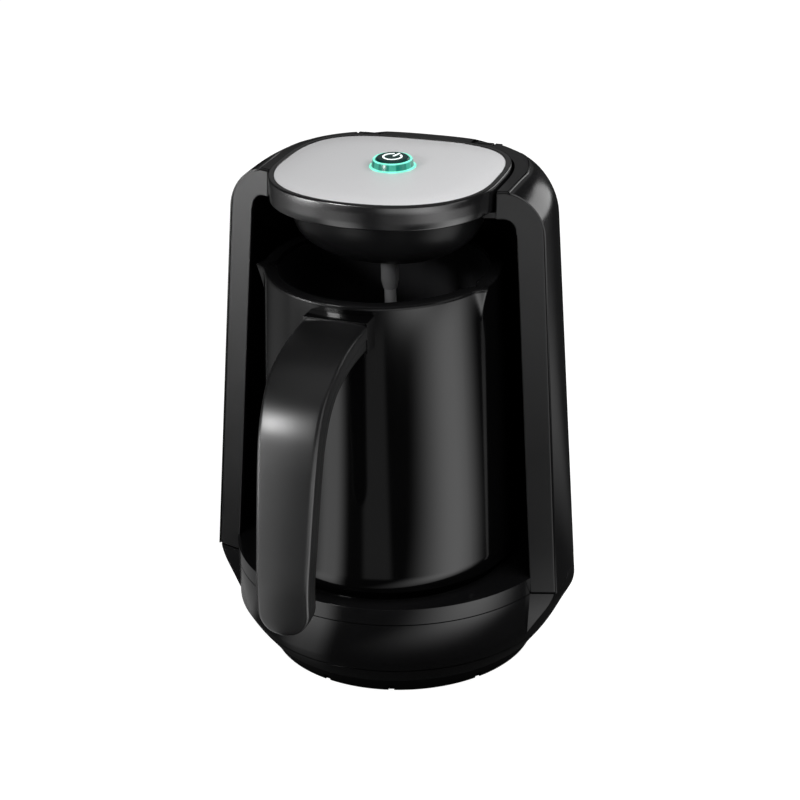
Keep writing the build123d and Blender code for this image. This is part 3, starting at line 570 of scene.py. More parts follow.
class Housing(Sizes):
    """The housing's outer form in millimetres, as the sizes say."""
    SPLAY = 3.5 / 11.84     # how far the arm's face falls back per millimetre outwards
    SLOPE = 0.08            # how far the face moves back per millimetre of height
    FACE_Z = 120.0          # height at which the face's place is given
    MEET = 0.8              # the face's Y holds this far inside the bay's wall
    CREASE = 13.0           # the face is square to Y from this far inside the bay's wall
    BEHIND = 3.5            # the plan's centre lies this far behind the face
    POWER = 2.8

    def taper(self, name, z):
        up = (z - self.low) / (self.high - self.low)
        low_value = getattr(self, name + "_low")
        return low_value + (getattr(self, name + "_high") - low_value) * up

    def face(self, x, z):
        """Y of the arm's face."""
        near = self.taper("inner", z)
        outwards = max(abs(x) - near, -self.CREASE) + self.MEET
        return self.face_y + self.SLOPE * (z - self.FACE_Z) + outwards * self.SPLAY

    def cut_in(self, radius, z):
        """How far a rounded top edge draws the surface in at one height above its start."""
        return radius - math.sqrt(max(radius ** 2 - z ** 2, 0.0)) if z > 0.0 else 0.0

    def plan(self, z, inset):
        """Half width, centre and depth of the rounded plan at one height."""
        over = z - (self.body_top - inset)
        side_round = self.shoulder - inset
        back_round = self.back_round - inset
        half = self.taper("outer", z) - inset - self.cut_in(side_round, over + side_round)
        centre = self.face_y + self.SLOPE * (z - self.FACE_Z) + self.BEHIND
        back = self.taper("back", z) - inset - self.cut_in(back_round, over + back_round)
        return half, centre, back - centre

    def point(self, turn, z, inset):
        half, centre, depth = self.plan(z, inset)
        x, y = on_power(half, depth, self.POWER, centre, turn)
        return x, y, z

    def split_turn(self, x, z, inset):
        """The turn at which the plan is at a given width."""
        half = self.plan(z, inset)[0]
        return math.acos(min(1.0, max(-1.0, (x / half) ** (self.POWER / 2))))


HOUSING = None          # the three forms are read from the scene's settings by main
JUG = None
HEAD = None
GAP = 0.12              # between a cover's lip and the arm's face, and behind the face
SEAM_GAP = 0.2          # the covers and faces start this far over the seam
DECK_TOP = 222.0
DECK_LOW = 212.85       # lower edge of the strip round the lid, at the back
DECK_OUTLINE = [(55.5, 14.0), (52.9, 26.5), (49.2, 35.5), (43.9, 42.4), (38.0, 51.0)]   # X and Y
CHEEK_TOP = 220.9
HEAD_POWERS = (3.29, 2.24)      # roundness behind and before the centre
DOME_POWERS = (2.2, 2.1)
DOME_SIZE = (42.5, 42.0, 34.0)  # half width, reach to the back and to the front
DOME_CENTRE = -6.0


def smooth_value(pairs, at):
    """A smooth curve through (place, value) pairs, with even slopes at the inner pairs."""
    pairs = sorted(pairs)
    if at <= pairs[0][0]:
        return pairs[0][1]
    if at >= pairs[-1][0]:
        return pairs[-1][1]
    index = max(i for i in range(len(pairs) - 1) if pairs[i][0] <= at)

    def slope(i):
        low = pairs[max(i - 1, 0)]
        high = pairs[min(i + 1, len(pairs) - 1)]
        return (high[1] - low[1]) / (high[0] - low[0])

    (x0, y0), (x1, y1) = pairs[index], pairs[index + 1]
    width = x1 - x0
    t = (at - x0) / width
    first = y0 * (1 + 2 * t) * (1 - t) ** 2 + slope(index) * width * t * (1 - t) ** 2
    return first + y1 * t * t * (3 - 2 * t) - slope(index + 1) * width * t * t * (1 - t)


def deck_half(y):
    """Half width of the strip round the lid, with its running gap to the covers."""
    return smooth_value([(y, x) for x, y in DECK_OUTLINE], y) + 0.15


def closed_loop(z, size, powers, centre, steps):
    """A level loop of two half superellipses; size is its half width and its reach to back and front."""
    half, back, front = size
    turns = arc_share(steps)
    behind = [on_power(half, back, powers[0], centre, turn) for turn in turns]
    before = [on_power(half, -front, powers[1], centre, turn) for turn in reversed(turns)]
    return [(x, y, z) for x, y in behind + before[1:-1]]


def head_loop(z, grow):
    """The lid's outline at one height, grown evenly."""
    size = [reach + grow for reach in (HEAD.plate_half, HEAD.plate_back, HEAD.plate_front)]
    return closed_loop(z, size, HEAD_POWERS, HEAD.centre_y, 48)


def dome_loop(z, scale, inset=0.0):
    """A share of the dome's widest outline, drawn in by the wall."""
    size = [reach * scale - inset for reach in DOME_SIZE]
    return closed_loop(z, size, DOME_POWERS, DOME_CENTRE, 40)


def circle_like(loop, centre_y, radius, z):
    """A circle whose points lie on the same rays as a loop's points."""
    points = []
    for x, y, _ in loop:
        far = math.hypot(x, y - centre_y)
        points.append((x / far * radius, centre_y + (y - centre_y) / far * radius, z))
    return points


# ---------------------------------------------------------------- operators
class SideCovers(bpy.types.Operator):
    """The two glossy covers with their rounded shoulders"""
    bl_idname = "coffee.side_covers"
    bl_label = "Side covers"
    COLUMNS = 44
    WALL_ROWS = 14      # rows from the seam up to the shoulder
    ROUND_ROWS = 12     # rows over the shoulder
    SPLIT = 38.15       # half width at which the covers end at the back
    FADE = 8.0          # the flat strip and the bead fade out over this width beside the split
    FLAT = 1.3          # width of the flat strip that carries the bead beside the lid's surround
    BEAD = ((1.15, 0.0), (0.95, 0.28), (0.65, 0.36), (0.35, 0.28), (0.2, 0.0), (0.0, -0.1))    # back, up

    def grid(self, form, side, inset):
        """Rows from the seam up over the shoulder and in to the strip round the lid."""
        radius = form.shoulder - inset
        start = form.body_top - inset - radius
        bottom = form.seam_z + SEAM_GAP
        first_round = self.WALL_ROWS
        first_bead = first_round + self.ROUND_ROWS + 1
        grid = [[] for _ in range(first_bead + len(self.BEAD))]

        def on_form(share, z):
            """X and Y of one column at one height; share 0 lies at the arm's face."""
            if share == 0:
                half = form.plan(z, inset)[0]
                return half, form.face(half, z)
            turn = form.split_turn(self.SPLIT, z, inset) * share ** 1.5
            x, y, _ = form.point(turn, z, inset)
            return x, y

        for column in range(self.COLUMNS + 1):
            share = column / self.COLUMNS

            def over(turn):
                z = start + radius * math.sin(turn)
                return (*on_form(share, z), z)

            fade = min(1.0, max(0.0, over(0.0)[0] - self.SPLIT) / self.FADE)
            flat = self.FLAT * fade - 0.02

            def too_far(turn):
                x, y, _ = over(turn)
                return x < deck_half(y) + flat

            end = math.pi / 2
            if too_far(end):
                low, high = 0.0, end
                for _ in range(24):
                    end = (low + high) / 2
                    low, high = (low, end) if too_far(end) else (end, high)
            for row in range(self.WALL_ROWS):
                height = bottom + (start - bottom) * row / self.WALL_ROWS
                grid[row].append((*on_form(share, height), height))
            if over(end)[2] < DECK_LOW:
                end = math.asin((DECK_LOW - start) / radius)
            for row in range(self.ROUND_ROWS + 1):
                grid[first_round + row].append(over(end * row / self.ROUND_ROWS))
            x, y, z = over(end)
            edge = min(deck_half(y), x - flat)
            for row, (back, up) in enumerate(self.BEAD):
                lift = up * fade if inset == 0.0 else 0.0
                grid[first_bead + row].append((edge + back * fade, y, z + lift))
        return [[(side * x, y, z) for x, y, z in row] for row in grid]

    def execute(self, context):
        """The shells taper to a thin lip in front, so that the face reaches out to the silhouette."""
        form = HOUSING
        for side, word in ((-1, "left"), (1, "right")):
            thin = self.grid(form, side, form.lip)
            full = self.grid(form, side, form.wall)
            inner = [near[:3] + far[3:] for near, far in zip(thin, full)]
            piece = slab(word + "_cover_shell", self.grid(form, side, 0.0), inner)
            bevelled(piece, 0.22)
            finished(piece, "housing", "cover_black", word + "_cover")
        return {"FINISHED"}


class ArmFronts(bpy.types.Operator):
    """The satin faces of the arms, with the rounded corners of the arch"""
    bl_idname = "coffee.arm_fronts"
    bl_label = "Arm fronts"

    ROWS = 15           # steps up the straight part
    COLUMNS = 10
    TURNS = 12          # steps round the arch's corner
    FIRST_TURN = 12.0   # degrees; where the shoulder's rounding starts
    END_X = 51.2        # half width at which the faces end beside the lid

    def rows(self, form):
        """Pairs of inner and outer points in X and Z, from the foot round to the arch's end."""
        inset = form.lip + GAP
        bottom = form.seam_z + SEAM_GAP
        corner = form.arch_round
        inner_x = form.taper("inner", form.ceiling_z) - corner
        low = form.ceiling_z - corner
        pairs = []
        for row in range(self.ROWS + 1):
            z = bottom + (low - 1.0 - bottom) * row / self.ROWS
            pairs.append(((form.taper("inner", z), z), (form.plan(z, inset)[0], z)))
        shoulder = form.shoulder - inset
        centre_z = form.body_top - form.shoulder
        centre_x = form.plan(centre_z, inset)[0] - shoulder
        deck_edge = DECK_OUTLINE[0][0]
        last_turn = math.degrees(math.acos((deck_edge + 0.45 - centre_x) / shoulder))
        for step in range(self.TURNS + 1):
            turn = math.radians(90.0 / self.TURNS * step)
            outer_turn = math.radians(self.FIRST_TURN + (last_turn - self.FIRST_TURN) * step / self.TURNS)
            inner = (inner_x + corner * math.cos(turn), low + corner * math.sin(turn))
            outer = (centre_x + shoulder * math.cos(outer_turn), centre_z + shoulder * math.sin(outer_turn))
            pairs.append((inner, outer))
        for x in (deck_edge + 0.05, (deck_edge + self.END_X) / 2, self.END_X):
            pairs.append(((min(x, inner_x - 0.1), form.ceiling_z), (x, DECK_TOP - 0.03)))
        return pairs

    def execute(self, context):
        form = HOUSING
        for side, word in ((-1, "left"), (1, "right")):
            fronts = []
            for (x0, z0), (x1, z1) in self.rows(form):
                shares = [column / self.COLUMNS for column in range(self.COLUMNS + 1)]
                row = [(x0 + (x1 - x0) * share, z0 + (z1 - z0) * share) for share in shares]
                fronts.append([(side * x, form.face(x, z), z) for x, z in row])
            backs = [[(x, y + form.wall, z) for x, y, z in row] for row in fronts]
            piece = slab(word + "_arm_face", fronts, backs)
            bevelled(piece, 0.7)
            finished(piece, "housing", "face_black", word + "_arm_front")
        return {"FINISHED"}


class Jug(bpy.types.Operator):
    """The jug's wall, its pot and its rim, with the two pouring lips"""
    bl_idname = "coffee.jug"
    bl_label = "Jug"

    LOW, HIGH = 50.0, 200.0     # heights at which the wall's radii are given
    TURNS = ((6.0, 0.6), (16.0, 1.2), (180.0, 3.0))     # degrees from a lip, step in degrees
    LIP_RISE = 13.5     # height over which the lips grow out of the wall
    LIP_HALF = 1.5      # half width of a lip at its foot
    LIP_SPREAD = 8.5    # growth of the half width up to the rim
    LIP_ROOT = 6.0      # the lip's sides run on this deep into the wall
    LIP_TURNS = 24.0    # degrees to either side in which a lip is felt
    BLEND = 1.6         # softness of the fillet between lip and wall
    POT_LOW = 69.0      # height at which the pot's wall meets the round of its bottom
    WALL = 1.8
    POT = 4.4           # inset of the pot's outside
    POT_WALL = 1.2

    def radius(self, sizes, turn, z, inset):
        """Outside radius at one turn from the handle, with the lips drawn out of the wall."""
        wider = sizes.radius_high - sizes.radius_low
        plain = sizes.radius_low + wider * (z - self.LOW) / (self.HIGH - self.LOW)
        off = abs(turn) - sizes.spout_angle
        if z <= sizes.spout_low or abs(off) > self.LIP_TURNS:
            return plain - inset
        rise = min((z - sizes.spout_low) / self.LIP_RISE, 1.0)
        reach = plain + 0.05 + (sizes.spout_reach - plain) * rise
        half = self.LIP_HALF + self.LIP_SPREAD * rise
        depth = reach - plain + self.LIP_ROOT
        slope = math.sqrt(math.tan(math.radians(off)) ** 2 + 0.01 ** 2)
        along = reach * slope / (half + depth * slope)
        lip = (reach - along * depth) / math.cos(math.radians(off))
        return 0.5 * (plain + lip + math.sqrt((plain - lip) ** 2 + self.BLEND)) - inset

    def turns(self, sizes):
        """Turns from the handle, close together at the lips."""
        turn = -180.0
        while turn < 180.0:
            yield turn
            near = abs(abs(turn) - sizes.spout_angle)
            turn += next(step for reach, step in self.TURNS if near < reach)

    def shell(self, name, sizes, profile):
        """A piece turned round the jug's axis from (inset, z) pairs; an inset of None lies on the axis."""
        rings = []
        for turn in self.turns(sizes):
            across = math.sin(math.radians(turn))
            forth = math.cos(math.radians(turn))
            ring = []
            for inset, z in profile:
                far = 0.0 if inset is None else self.radius(sizes, turn, z, inset)
                ring.append((far * across, sizes.axis_y - far * forth, z))
            rings.append(ring)
        return tube_of_rings(name, rings, joined=True)

    def execute(self, context):
        sizes = JUG
        top = sizes.top
        rim_low = top - 1.7
        heights = [sizes.bottom + 0.5, 62, 80, 100, 120, 140, 160, 170, 172, 174, 176, 178, 180, 182,
                   rim_low - 0.45]
        outer = [(0.5, sizes.bottom)] + [(0.0, z) for z in heights] + [(0.0, rim_low - 0.02)]
        inner = [(self.WALL, z) for z in reversed(heights[1:])] + [(self.WALL, sizes.bottom)]
        finished(self.shell("jug_wall", sizes, outer + inner), "jug", "jug_black", "jug_body")
        rim = [(0.0, rim_low), (0.0, top - 0.5), (0.2, top - 0.12), (0.6, top), (5.0, top), (5.4, top - 0.12),
               (5.6, top - 0.5), (5.6, rim_low)]
        finished(self.shell("jug_rim", sizes, rim), "jug", "rim_black", "rim_band")
        climb = [z for z in heights if z > self.POT_LOW]
        pot = [(None, 64.5), (12.0, 64.5), (5.6, 65.5), (self.POT, self.POT_LOW)]
        pot += [(self.POT, z) for z in climb] + [(self.POT + self.POT_WALL, z) for z in reversed(climb)]
        pot += [(5.6, 72.0), (6.4, 68.4), (8.4, 66.6), (12.0, 66.0), (None, 66.0)]
        finished(self.shell("jug_inner_pot", sizes, pot), "jug", "pot_coating", "jug_pot")
        return {"FINISHED"}


class Handle(bpy.types.Operator):
    """The handle's two shells, with rounded rails and a round end"""
    bl_idname = "coffee.handle"
    bl_label = "Handle"
    HALF = [(188.0, 14.0), (172.0, 14.0), (162.0, 13.35), (127.0, 12.2), (95.0, 11.3), (80.0, 11.1)]
    OUTER = [(-71.0, 181.0), (-84.0, 180.2), (-96.4, 178.0), (-108.5, 173.4), (-118.0, 166.0),
             (-124.5, 156.5), (-128.8, 144.7), (-133.5, 124.9), (-137.6, 104.6), (-139.9, 92.0),
             (-140.2, 78.0)]        # Y and Z
    INNER = [(-71.0, 168.0), (-83.5, 167.4), (-92.8, 165.8), (-101.5, 162.4), (-108.0, 157.0),
             (-112.4, 150.5), (-116.2, 141.5), (-120.9, 122.0), (-125.0, 101.5), (-127.2, 90.5),
             (-127.6, 78.0)]
    END = (77.0, 76.0, 75.0, 74.0, 73.2, 72.5, 71.9, 71.4, 71.0, 70.7, 70.5)    # heights of the round end
    TIP = 70.4
    TIP_ROUND = 2.6
    END_ROUND = (11.22, 81.62, 80.0)    # radius, centre and start of the end's rounding, seen from the front
    STEPS = 6           # steps between two given points
    THIN = 0.4          # least half width
    SHELLS = (          # name, shares of the thickness, corner radii, shrink, crown, node
        ("handle_front_shell", (0.0, 0.508), (1.9, 0.3), 0.0, 0.5, "handle_outer"),
        ("handle_back_shell", (0.532, 1.0), (0.3, 2.4), 0.45, 0.0, "handle_inner"))

    def half(self, z, shrink):
        radius, centre, start = self.END_ROUND
        if z >= start:
            return max(smooth_value(self.HALF, z) - shrink, self.THIN)
        return max(math.sqrt(max(radius ** 2 - (z - centre) ** 2, 0.0)) - shrink, self.THIN)

    def ring(self, outer, inner, shares, corners, crown, shrink, tip):
        """A rounded oblong across the handle, between two shares of its thickness."""
        thick = math.hypot(inner[0] - outer[0], inner[1] - outer[1])
        along = ((inner[0] - outer[0]) / thick, (inner[1] - outer[1]) / thick)
        front = thick * shares[0] + (tip if shares[0] == 0 else 0.0)
        near = front + crown
        far = thick * shares[1] - (tip if shares[1] == 1 else 0.0)
        width = self.half(outer[1], shrink)
        near_corner, far_corner = (min(corner, 0.9 * width) for corner in corners)
        turns = [math.radians(15 * step) for step in range(7)]
        bends = [(1 - math.sin(turn), 1 - math.cos(turn)) for turn in turns]
        first = [(near + near_corner * deep, near_corner * pull) for deep, pull in bends]
        last = [(far - far_corner * deep, far_corner * pull) for deep, pull in bends]
        points = []

        def add(x, depth):
            points.append((x, outer[0] + along[0] * depth, outer[1] + along[1] * depth))

        for side, run in ((-1, last[::-1] + first), (1, first[::-1] + last)):
            for depth, pull in run:
                reach = self.half(outer[1] + along[1] * depth, shrink)
                add(side * max(reach - pull, 0.1), depth)
            for share in (-0.8, -0.6, -0.4, -0.2, 0.0, 0.2, 0.4, 0.6, 0.8):
                if side < 0:
                    add(share * (width - near_corner), front + crown * share * share)
                else:
                    add(-share * (width - far_corner), far)
        return points

    def on_line(self, line, at):
        return tuple(smooth_value([(i, point[axis]) for i, point in enumerate(line)], at) for axis in (0, 1))

    def stations(self):
        """Matching points on the handle's outer and inner line."""
        for step in range(self.STEPS * (len(self.OUTER) - 1) + 1):
            at = step / self.STEPS
            yield self.on_line(self.OUTER, at), self.on_line(self.INNER, at)
        for z in self.END:
            yield (self.OUTER[-1][0], z), (self.INNER[-1][0], z)

    def execute(self, context):
        round_off = self.TIP_ROUND
        for name, shares, corners, shrink, crown, node in self.SHELLS:
            rings = []
            for outer, inner in self.stations():
                left = max(self.TIP + round_off - outer[1], 0.0)
                tip = 0.0
                if outer[1] < self.OUTER[-1][1]:
                    tip = round_off - math.sqrt(max(round_off ** 2 - left ** 2, 0.0))
                rings.append(self.ring(outer, inner, shares, corners, crown, shrink, tip))
            finished(tube_of_rings(name, rings), "jug", "handle_black", node)
        return {"FINISHED"}


class Lid(bpy.types.Operator):
    """The lid's wall, its dome, the ring round the plate and the silver plate"""
    bl_idname = "coffee.lid"
    bl_label = "Lid"

    SEAT = 220.41       # the ring stands on the lid's wall here
    THICK = 2.0         # thickness of the lid's wall and floor
    FLOOR = 9.0         # how far the floor reaches in
    WALL = ((0.9, 0.0), (0.45, 0.12), (0.12, 0.4), (0.0, 0.9), (0.0, 3.5))      # inset, height
    BUTTON_HOLE = ((14.0, 0.0), (10.4, 0.0), (10.17, -0.1), (10.1, -0.3), (10.1, -1.2))    # radius, height
    DOME = [(213.3, 1.01), (208.5, 0.995), (203.0, 0.965), (198.0, 0.906), (193.5, 0.776), (190.0, 0.612),
            (188.2, 0.42), (187.5, 0.2)]    # height, share of the widest outline
    DOME_ROWS = (213.25, 210.8, 208.5, 206.0, 203.5, 201.0, 199.0, 197.0, 195.5, 194.0, 192.8, 191.6, 190.6,
                 189.8, 189.1, 188.6, 188.2, 187.9, 187.7, 187.5)
    DOME_WALL = 1.8
    PROBE_HOLE = (-5.5, 3.95)               # centre and radius of the opening for the probe

    def turned(self, name, rings, slot, node, finish=None):
        finished(tube_of_rings(name, rings, joined=True), "lid", slot, node, finish=finish)

    def execute(self, context):
        low = HEAD.wall_bottom
        thick = self.THICK
        profile = [(self.FLOOR, low)] + [(inset, low + up) for inset, up in self.WALL]
        profile += [(0.0, HEAD.wall_top), (thick, HEAD.wall_top), (thick, low + thick),
                    (self.FLOOR, low + thick)]
        rings = [head_loop(z, HEAD.trim - inset) for inset, z in profile]
        self.turned("lid_wall", rings, "head_black", "lid_shell")

        trim = HEAD.trim
        top = HEAD.plate_top + 0.2
        profile = [(trim, self.SEAT), (trim, top - 0.7), (trim - 0.1, top - 0.34), (trim - 0.34, top - 0.1),
                   (trim - 0.7, top), (0.45, top), (0.2, top - 0.08), (0.1, top - 0.3), (0.1, top - 1.4),
                   (-2.0, top - 1.4), (-2.0, self.SEAT)]
        rings = [head_loop(z, grow) for grow, z in profile]
        self.turned("plate_ring", rings, "head_black", "plate_trim")

        top = HEAD.plate_top
        edge = ((-1.2, -0.1), (-0.25, 0.0), (-0.07, -0.07), (0.0, -0.3), (0.0, -12.0))
        rings = [head_loop(top + up, grow) for up, grow in edge]
        rings += [circle_like(rings[-1], HEAD.button_y, radius, top + up) for radius, up in self.BUTTON_HOLE]
        self.turned("silver_plate", rings, "plate_silver", "top_plate")

        outer = [dome_loop(z, smooth_value(self.DOME, z)) for z in self.DOME_ROWS]
        inner = [dome_loop(z + self.DOME_WALL, smooth_value(self.DOME, z), self.DOME_WALL)
                 for z in reversed(self.DOME_ROWS[2:-1])]
        hole = [circle_like(outer[-1], *self.PROBE_HOLE, z) for z in (187.45, 189.3)]
        rings = outer + hole + inner + [dome_loop(self.DOME_ROWS[0], 0.9)]
        self.turned("lid_bowl", rings, "head_black", "lid_dome", "bowl_black")
        return {"FINISHED"}


class ButtonTrim(bpy.types.Operator):
    """The lit ring round the button and the power symbol on it"""
    bl_idname = "coffee.button_trim"
    bl_label = "Button trim"
    RING = ((7.65, -1.2), (7.65, 3.2), (7.9, 3.45), (8.3, 3.35), (8.65, 2.9), (9.0, 0.6), (9.15, 0.25),
            (9.4, 0.08), (10.03, 0.02), (10.03, -1.2))      # radius, height over the plate
    RING_STEP = 4           # degrees
    SYMBOL_TURN = 18.0      # degrees from +Y towards +X
    SYMBOL_RADII = (3.55, 4.35)
    SYMBOL_GAP = 24.0       # degrees left open on either side of the bar
    SYMBOL_STEPS = 48
    BAR = (0.42, 0.6, 5.1)  # half width, near end, far end
    SYMBOL_Z = (228.0, 228.12)

    def place(self, far, turn, z):
        return far * math.sin(math.radians(turn)), HEAD.button_y + far * math.cos(math.radians(turn)), z

    def execute(self, context):
        rings = [[self.place(far, turn, HEAD.plate_top + up) for far, up in self.RING]
                 for turn in range(0, 360, self.RING_STEP)]
        finished(tube_of_rings("button_ring", rings, joined=True), "lid", "ring_glow", "light_ring")
        near, far = self.SYMBOL_RADII
        low, high = self.SYMBOL_Z
        first = self.SYMBOL_TURN + self.SYMBOL_GAP
        swing = 360.0 - 2 * self.SYMBOL_GAP
        corners = ((near, low), (near, high), (far, high), (far, low))
        rings = []
        for step in range(self.SYMBOL_STEPS + 1):
            turn = first + swing * step / self.SYMBOL_STEPS
            rings.append([self.place(radius, turn, z) for radius, z in corners])
        finished(tube_of_rings("power_arc", rings), "button", "symbol_white", "power_symbol")
        half, start, end = self.BAR
        rings = []
        for reach in (start, end):
            aside = math.degrees(math.atan2(half, reach))
            rings.append([self.place(math.hypot(half, reach), self.SYMBOL_TURN + side * aside, z)
                          for side, z in ((-1, low), (-1, high), (1, high), (1, low))])
        finished(tube_of_rings("power_bar", rings), "button", "symbol_white")
        return {"FINISHED"}


class PieceTree(Nodes):
    """A Geometry Nodes tree with named inputs, whose result becomes a plain mesh."""

    def __init__(self, name):
        super().__init__(bpy.data.node_groups.new(name, "GeometryNodeTree"))
        self.tree.interface.new_socket("Geometry", in_out="OUTPUT", socket_type="NodeSocketGeometry")
        self.tree.interface.new_socket("Places", in_out="INPUT", socket_type="NodeSocketGeometry")
        self.start = self.add("NodeGroupInput")
        self.keys = {}

    def input(self, name, kind="NodeSocketFloat"):
        socket = self.tree.interface.new_socket(name, in_out="INPUT", socket_type=kind)
        self.keys[name] = socket.identifier
        return self.start.outputs[name]

    def lowered(self, shape, depth):
        """A shape's geometry, moved down."""
        drop = self.add("ShaderNodeCombineXYZ", None, {2: self.math("MULTIPLY", depth, -1.0)})
        moved = self.add("GeometryNodeTransform", None,
                         {"Geometry": shape.outputs[0], "Translation": drop.outputs[0]})
        return moved.outputs[0]

    def end(self, shape, finish):
        """Sets the shape at every place, as real geometry with its finish."""
        turned = self.input("Turn", "NodeSocketRotation")
        placed = self.add("GeometryNodeInstanceOnPoints", None,
                          {"Points": self.start.outputs["Places"], "Instance": shape, "Rotation": turned})
        real = self.add("GeometryNodeRealizeInstances", None, {"Geometry": placed.outputs[0]})
        painted = self.add("GeometryNodeSetMaterial", None,
                           {"Geometry": real.outputs[0], "Material": finish})
        self.add("NodeGroupOutput", None, {0: painted.outputs[0]})

    def made_at(self, name, places, **values):
        """Runs the tree on places given in millimetres and keeps the result as a plain mesh."""
        mesh = bpy.data.meshes.new(name + "_places")
        mesh.from_pydata([(x * MM, y * MM, z * MM) for x, y, z in places], [], [])
        carrier = link(name + "_places", mesh)
        modifier = carrier.modifiers.new("pieces", "NODES")
        modifier.node_group = self.tree
        for key, value in values.items():
            modifier[self.keys[key.replace("_", " ")]] = value
        view = bpy.context.evaluated_depsgraph_get()
        result = bpy.data.meshes.new_from_object(carrier.evaluated_get(view))
        bpy.data.objects.remove(carrier)
        result.name = name
        return link(name, cleaned(result, 32.0))


def screw_tree():
    """Screws with a slot: the slotted face lies at the place and looks along +Z before the turn."""
    nodes = PieceTree("slotted_screws")
    radius, height, slot_width, slot_depth, shank_radius, shank_length = (
        nodes.input(name) for name in ("Head Radius", "Head Height", "Slot Width", "Slot Depth",
                                       "Shank Radius", "Shank Length"))
    head = nodes.add("GeometryNodeMeshCylinder", None, {"Vertices": 40, "Radius": radius, "Depth": height})
    head = nodes.lowered(head, nodes.math("MULTIPLY", height, 0.5))
    size = nodes.add("ShaderNodeCombineXYZ", None,
                     {0: nodes.math("MULTIPLY", radius, 1.45), 1: slot_width,
                      2: nodes.math("MULTIPLY", slot_depth, 2.0)})
    slot = nodes.add("GeometryNodeMeshCube", None, {"Size": size.outputs[0]})
    cut = nodes.add("GeometryNodeMeshBoolean", {"operation": "DIFFERENCE"},
                    {"Mesh 1": head, "Mesh 2": slot.outputs[0]})
    shank = nodes.add("GeometryNodeMeshCylinder", None,
                      {"Vertices": 20, "Radius": shank_radius, "Depth": shank_length})
    middle = nodes.math("ADD", nodes.math("MULTIPLY", shank_length, 0.5),
                        nodes.math("MULTIPLY", height, 0.98))
    shank = nodes.lowered(shank, middle)
    whole = nodes.add("GeometryNodeMeshBoolean", {"operation": "UNION"})
    for part in (cut.outputs[0], shank):
        nodes.feed(whole.inputs["Mesh 2"], part)
    nodes.end(whole.outputs[0], FINISHES["screw_steel"])
    return nodes


def foot_tree():
    """Round rubber feet, wider at their root."""
    nodes = PieceTree("round_feet")
    root = nodes.input("Root Radius")
    tread = nodes.input("Tread Radius")
    height = nodes.input("Height")
    cone = nodes.add("GeometryNodeMeshCone", None,
                     {"Vertices": 48, "Radius Top": root, "Radius Bottom": tread, "Depth": height})
    nodes.end(cone.outputs[0], FINISHES["foot_rubber"])
    return nodes


class Fasteners(bpy.types.Operator):
    """The slotted screws in the back and under the base, and the rubber feet"""
    bl_idname = "coffee.fasteners"
    bl_label = "Screws and feet"
    REAR = ((-29.0, 62.0), (-29.0, 196.0), (29.0, 62.0), (29.0, 196.0))     # X and Z
    BASE_CIRCLE = 53.0      # radius on which the base's screws stand
    FOOT_CIRCLE = 49.0
    FOOT_HEIGHT = 1.8
    SCREW = {"Head_Radius": 2.8 * MM, "Slot_Width": 0.65 * MM, "Slot_Depth": 0.6 * MM}

    def rear_place(self, x, z):
        """A screw head's face in the housing's back, a little under the surface."""
        half, centre, depth = HOUSING.plan(z, 0.0)
        curve = (1.0 - (abs(x) / half) ** HOUSING.POWER) ** (1.0 / HOUSING.POWER)
        return x, centre + depth * curve - 0.1, z

    def around(self, radius, start, z):
        turns = [math.radians(start + 90.0 * step) for step in range(4)]
        return [(radius * math.cos(turn), radius * math.sin(turn), z) for turn in turns]

    def execute(self, context):
        screws = screw_tree()
        rear = screws.made_at("rear_slotted_screws", [self.rear_place(x, z) for x, z in self.REAR],
                              **self.SCREW, Head_Height=1.05 * MM, Shank_Radius=1.3 * MM,
                              Shank_Length=5.2 * MM, Turn=(-math.pi / 2, 0.0, 0.0))
        base = screws.made_at("base_slotted_screws", self.around(self.BASE_CIRCLE, 0.0, 1.0),
                              **self.SCREW, Head_Height=1.3 * MM, Shank_Radius=1.4 * MM,
                              Shank_Length=11.0 * MM, Turn=(math.pi, 0.0, 0.0))
        places = self.around(self.FOOT_CIRCLE, 45.0, 0.0) + [(0.0, 0.0, 0.0)]
        feet = foot_tree().made_at("round_rubber_feet", places, Root_Radius=5.5 * MM,
                                   Tread_Radius=5.1 * MM, Height=self.FOOT_HEIGHT * MM, Turn=(0.0, 0.0, 0.0))
        for piece, rounding, slot, node in ((rear, 0.15, "screw_steel", "rear_screws"),
                                            (base, 0.15, "screw_steel", "base_screws"),
                                            (feet, 0.3, "foot_rubber", "rubber_feet")):
            bevelled(piece, rounding, 2)
            finished(piece, "housing", slot, node)
        return {"FINISHED"}


OTHER_FINISH = {"jug_platform": "cover_black"}      # pieces whose gloss differs from the rest of their slot
ROUNDED = {     # rounding of the clean copies' edges, in millimetres
    "top_deck": 0.35, "rear_panel": 0.3, "jug_platform": 0.5, "base_cover": 0.25, "base_ring": 0.3,
    "handle_bracket": 0.8, "button_cap": 0.35, "hinge_knuckles": 0.3,
    "probe_sleeve": 0.25, "jug_base": 0.4, "cord_inlet": 0.4,
    "lid_bumpers": 0.25, "base_connector": 0.4, "jug_connector": 0.3, "cavity_liner": 0.3,
}


class CarriedPieces(bpy.types.Operator):
    """Clean copies of the CAD solids whose shape is already right"""
    bl_idname = "coffee.carried_pieces"
    bl_label = "Carried pieces"

    def execute(self, context):
        slots = slots_of_record()
        bodies = bodies_of_record()
        for node in sorted(slots):
            if frame["nodes"][node].hide_render:
                continue
            piece = dressed_copy(node, bodies[node], slots[node], ROUNDED.get(node, 0.0))
            if node == "button_spring":
                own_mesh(piece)
        return {"FINISHED"}


class Stage(bpy.types.Operator):
    """Floor, light and camera"""
    bl_idname = "coffee.stage"
    bl_label = "Stage"

    def execute(self, context):
        make_camera()
        make_floor()
        make_lights()
        make_world()
        context.scene.view_settings.view_transform = "Standard"
        return {"FINISHED"}


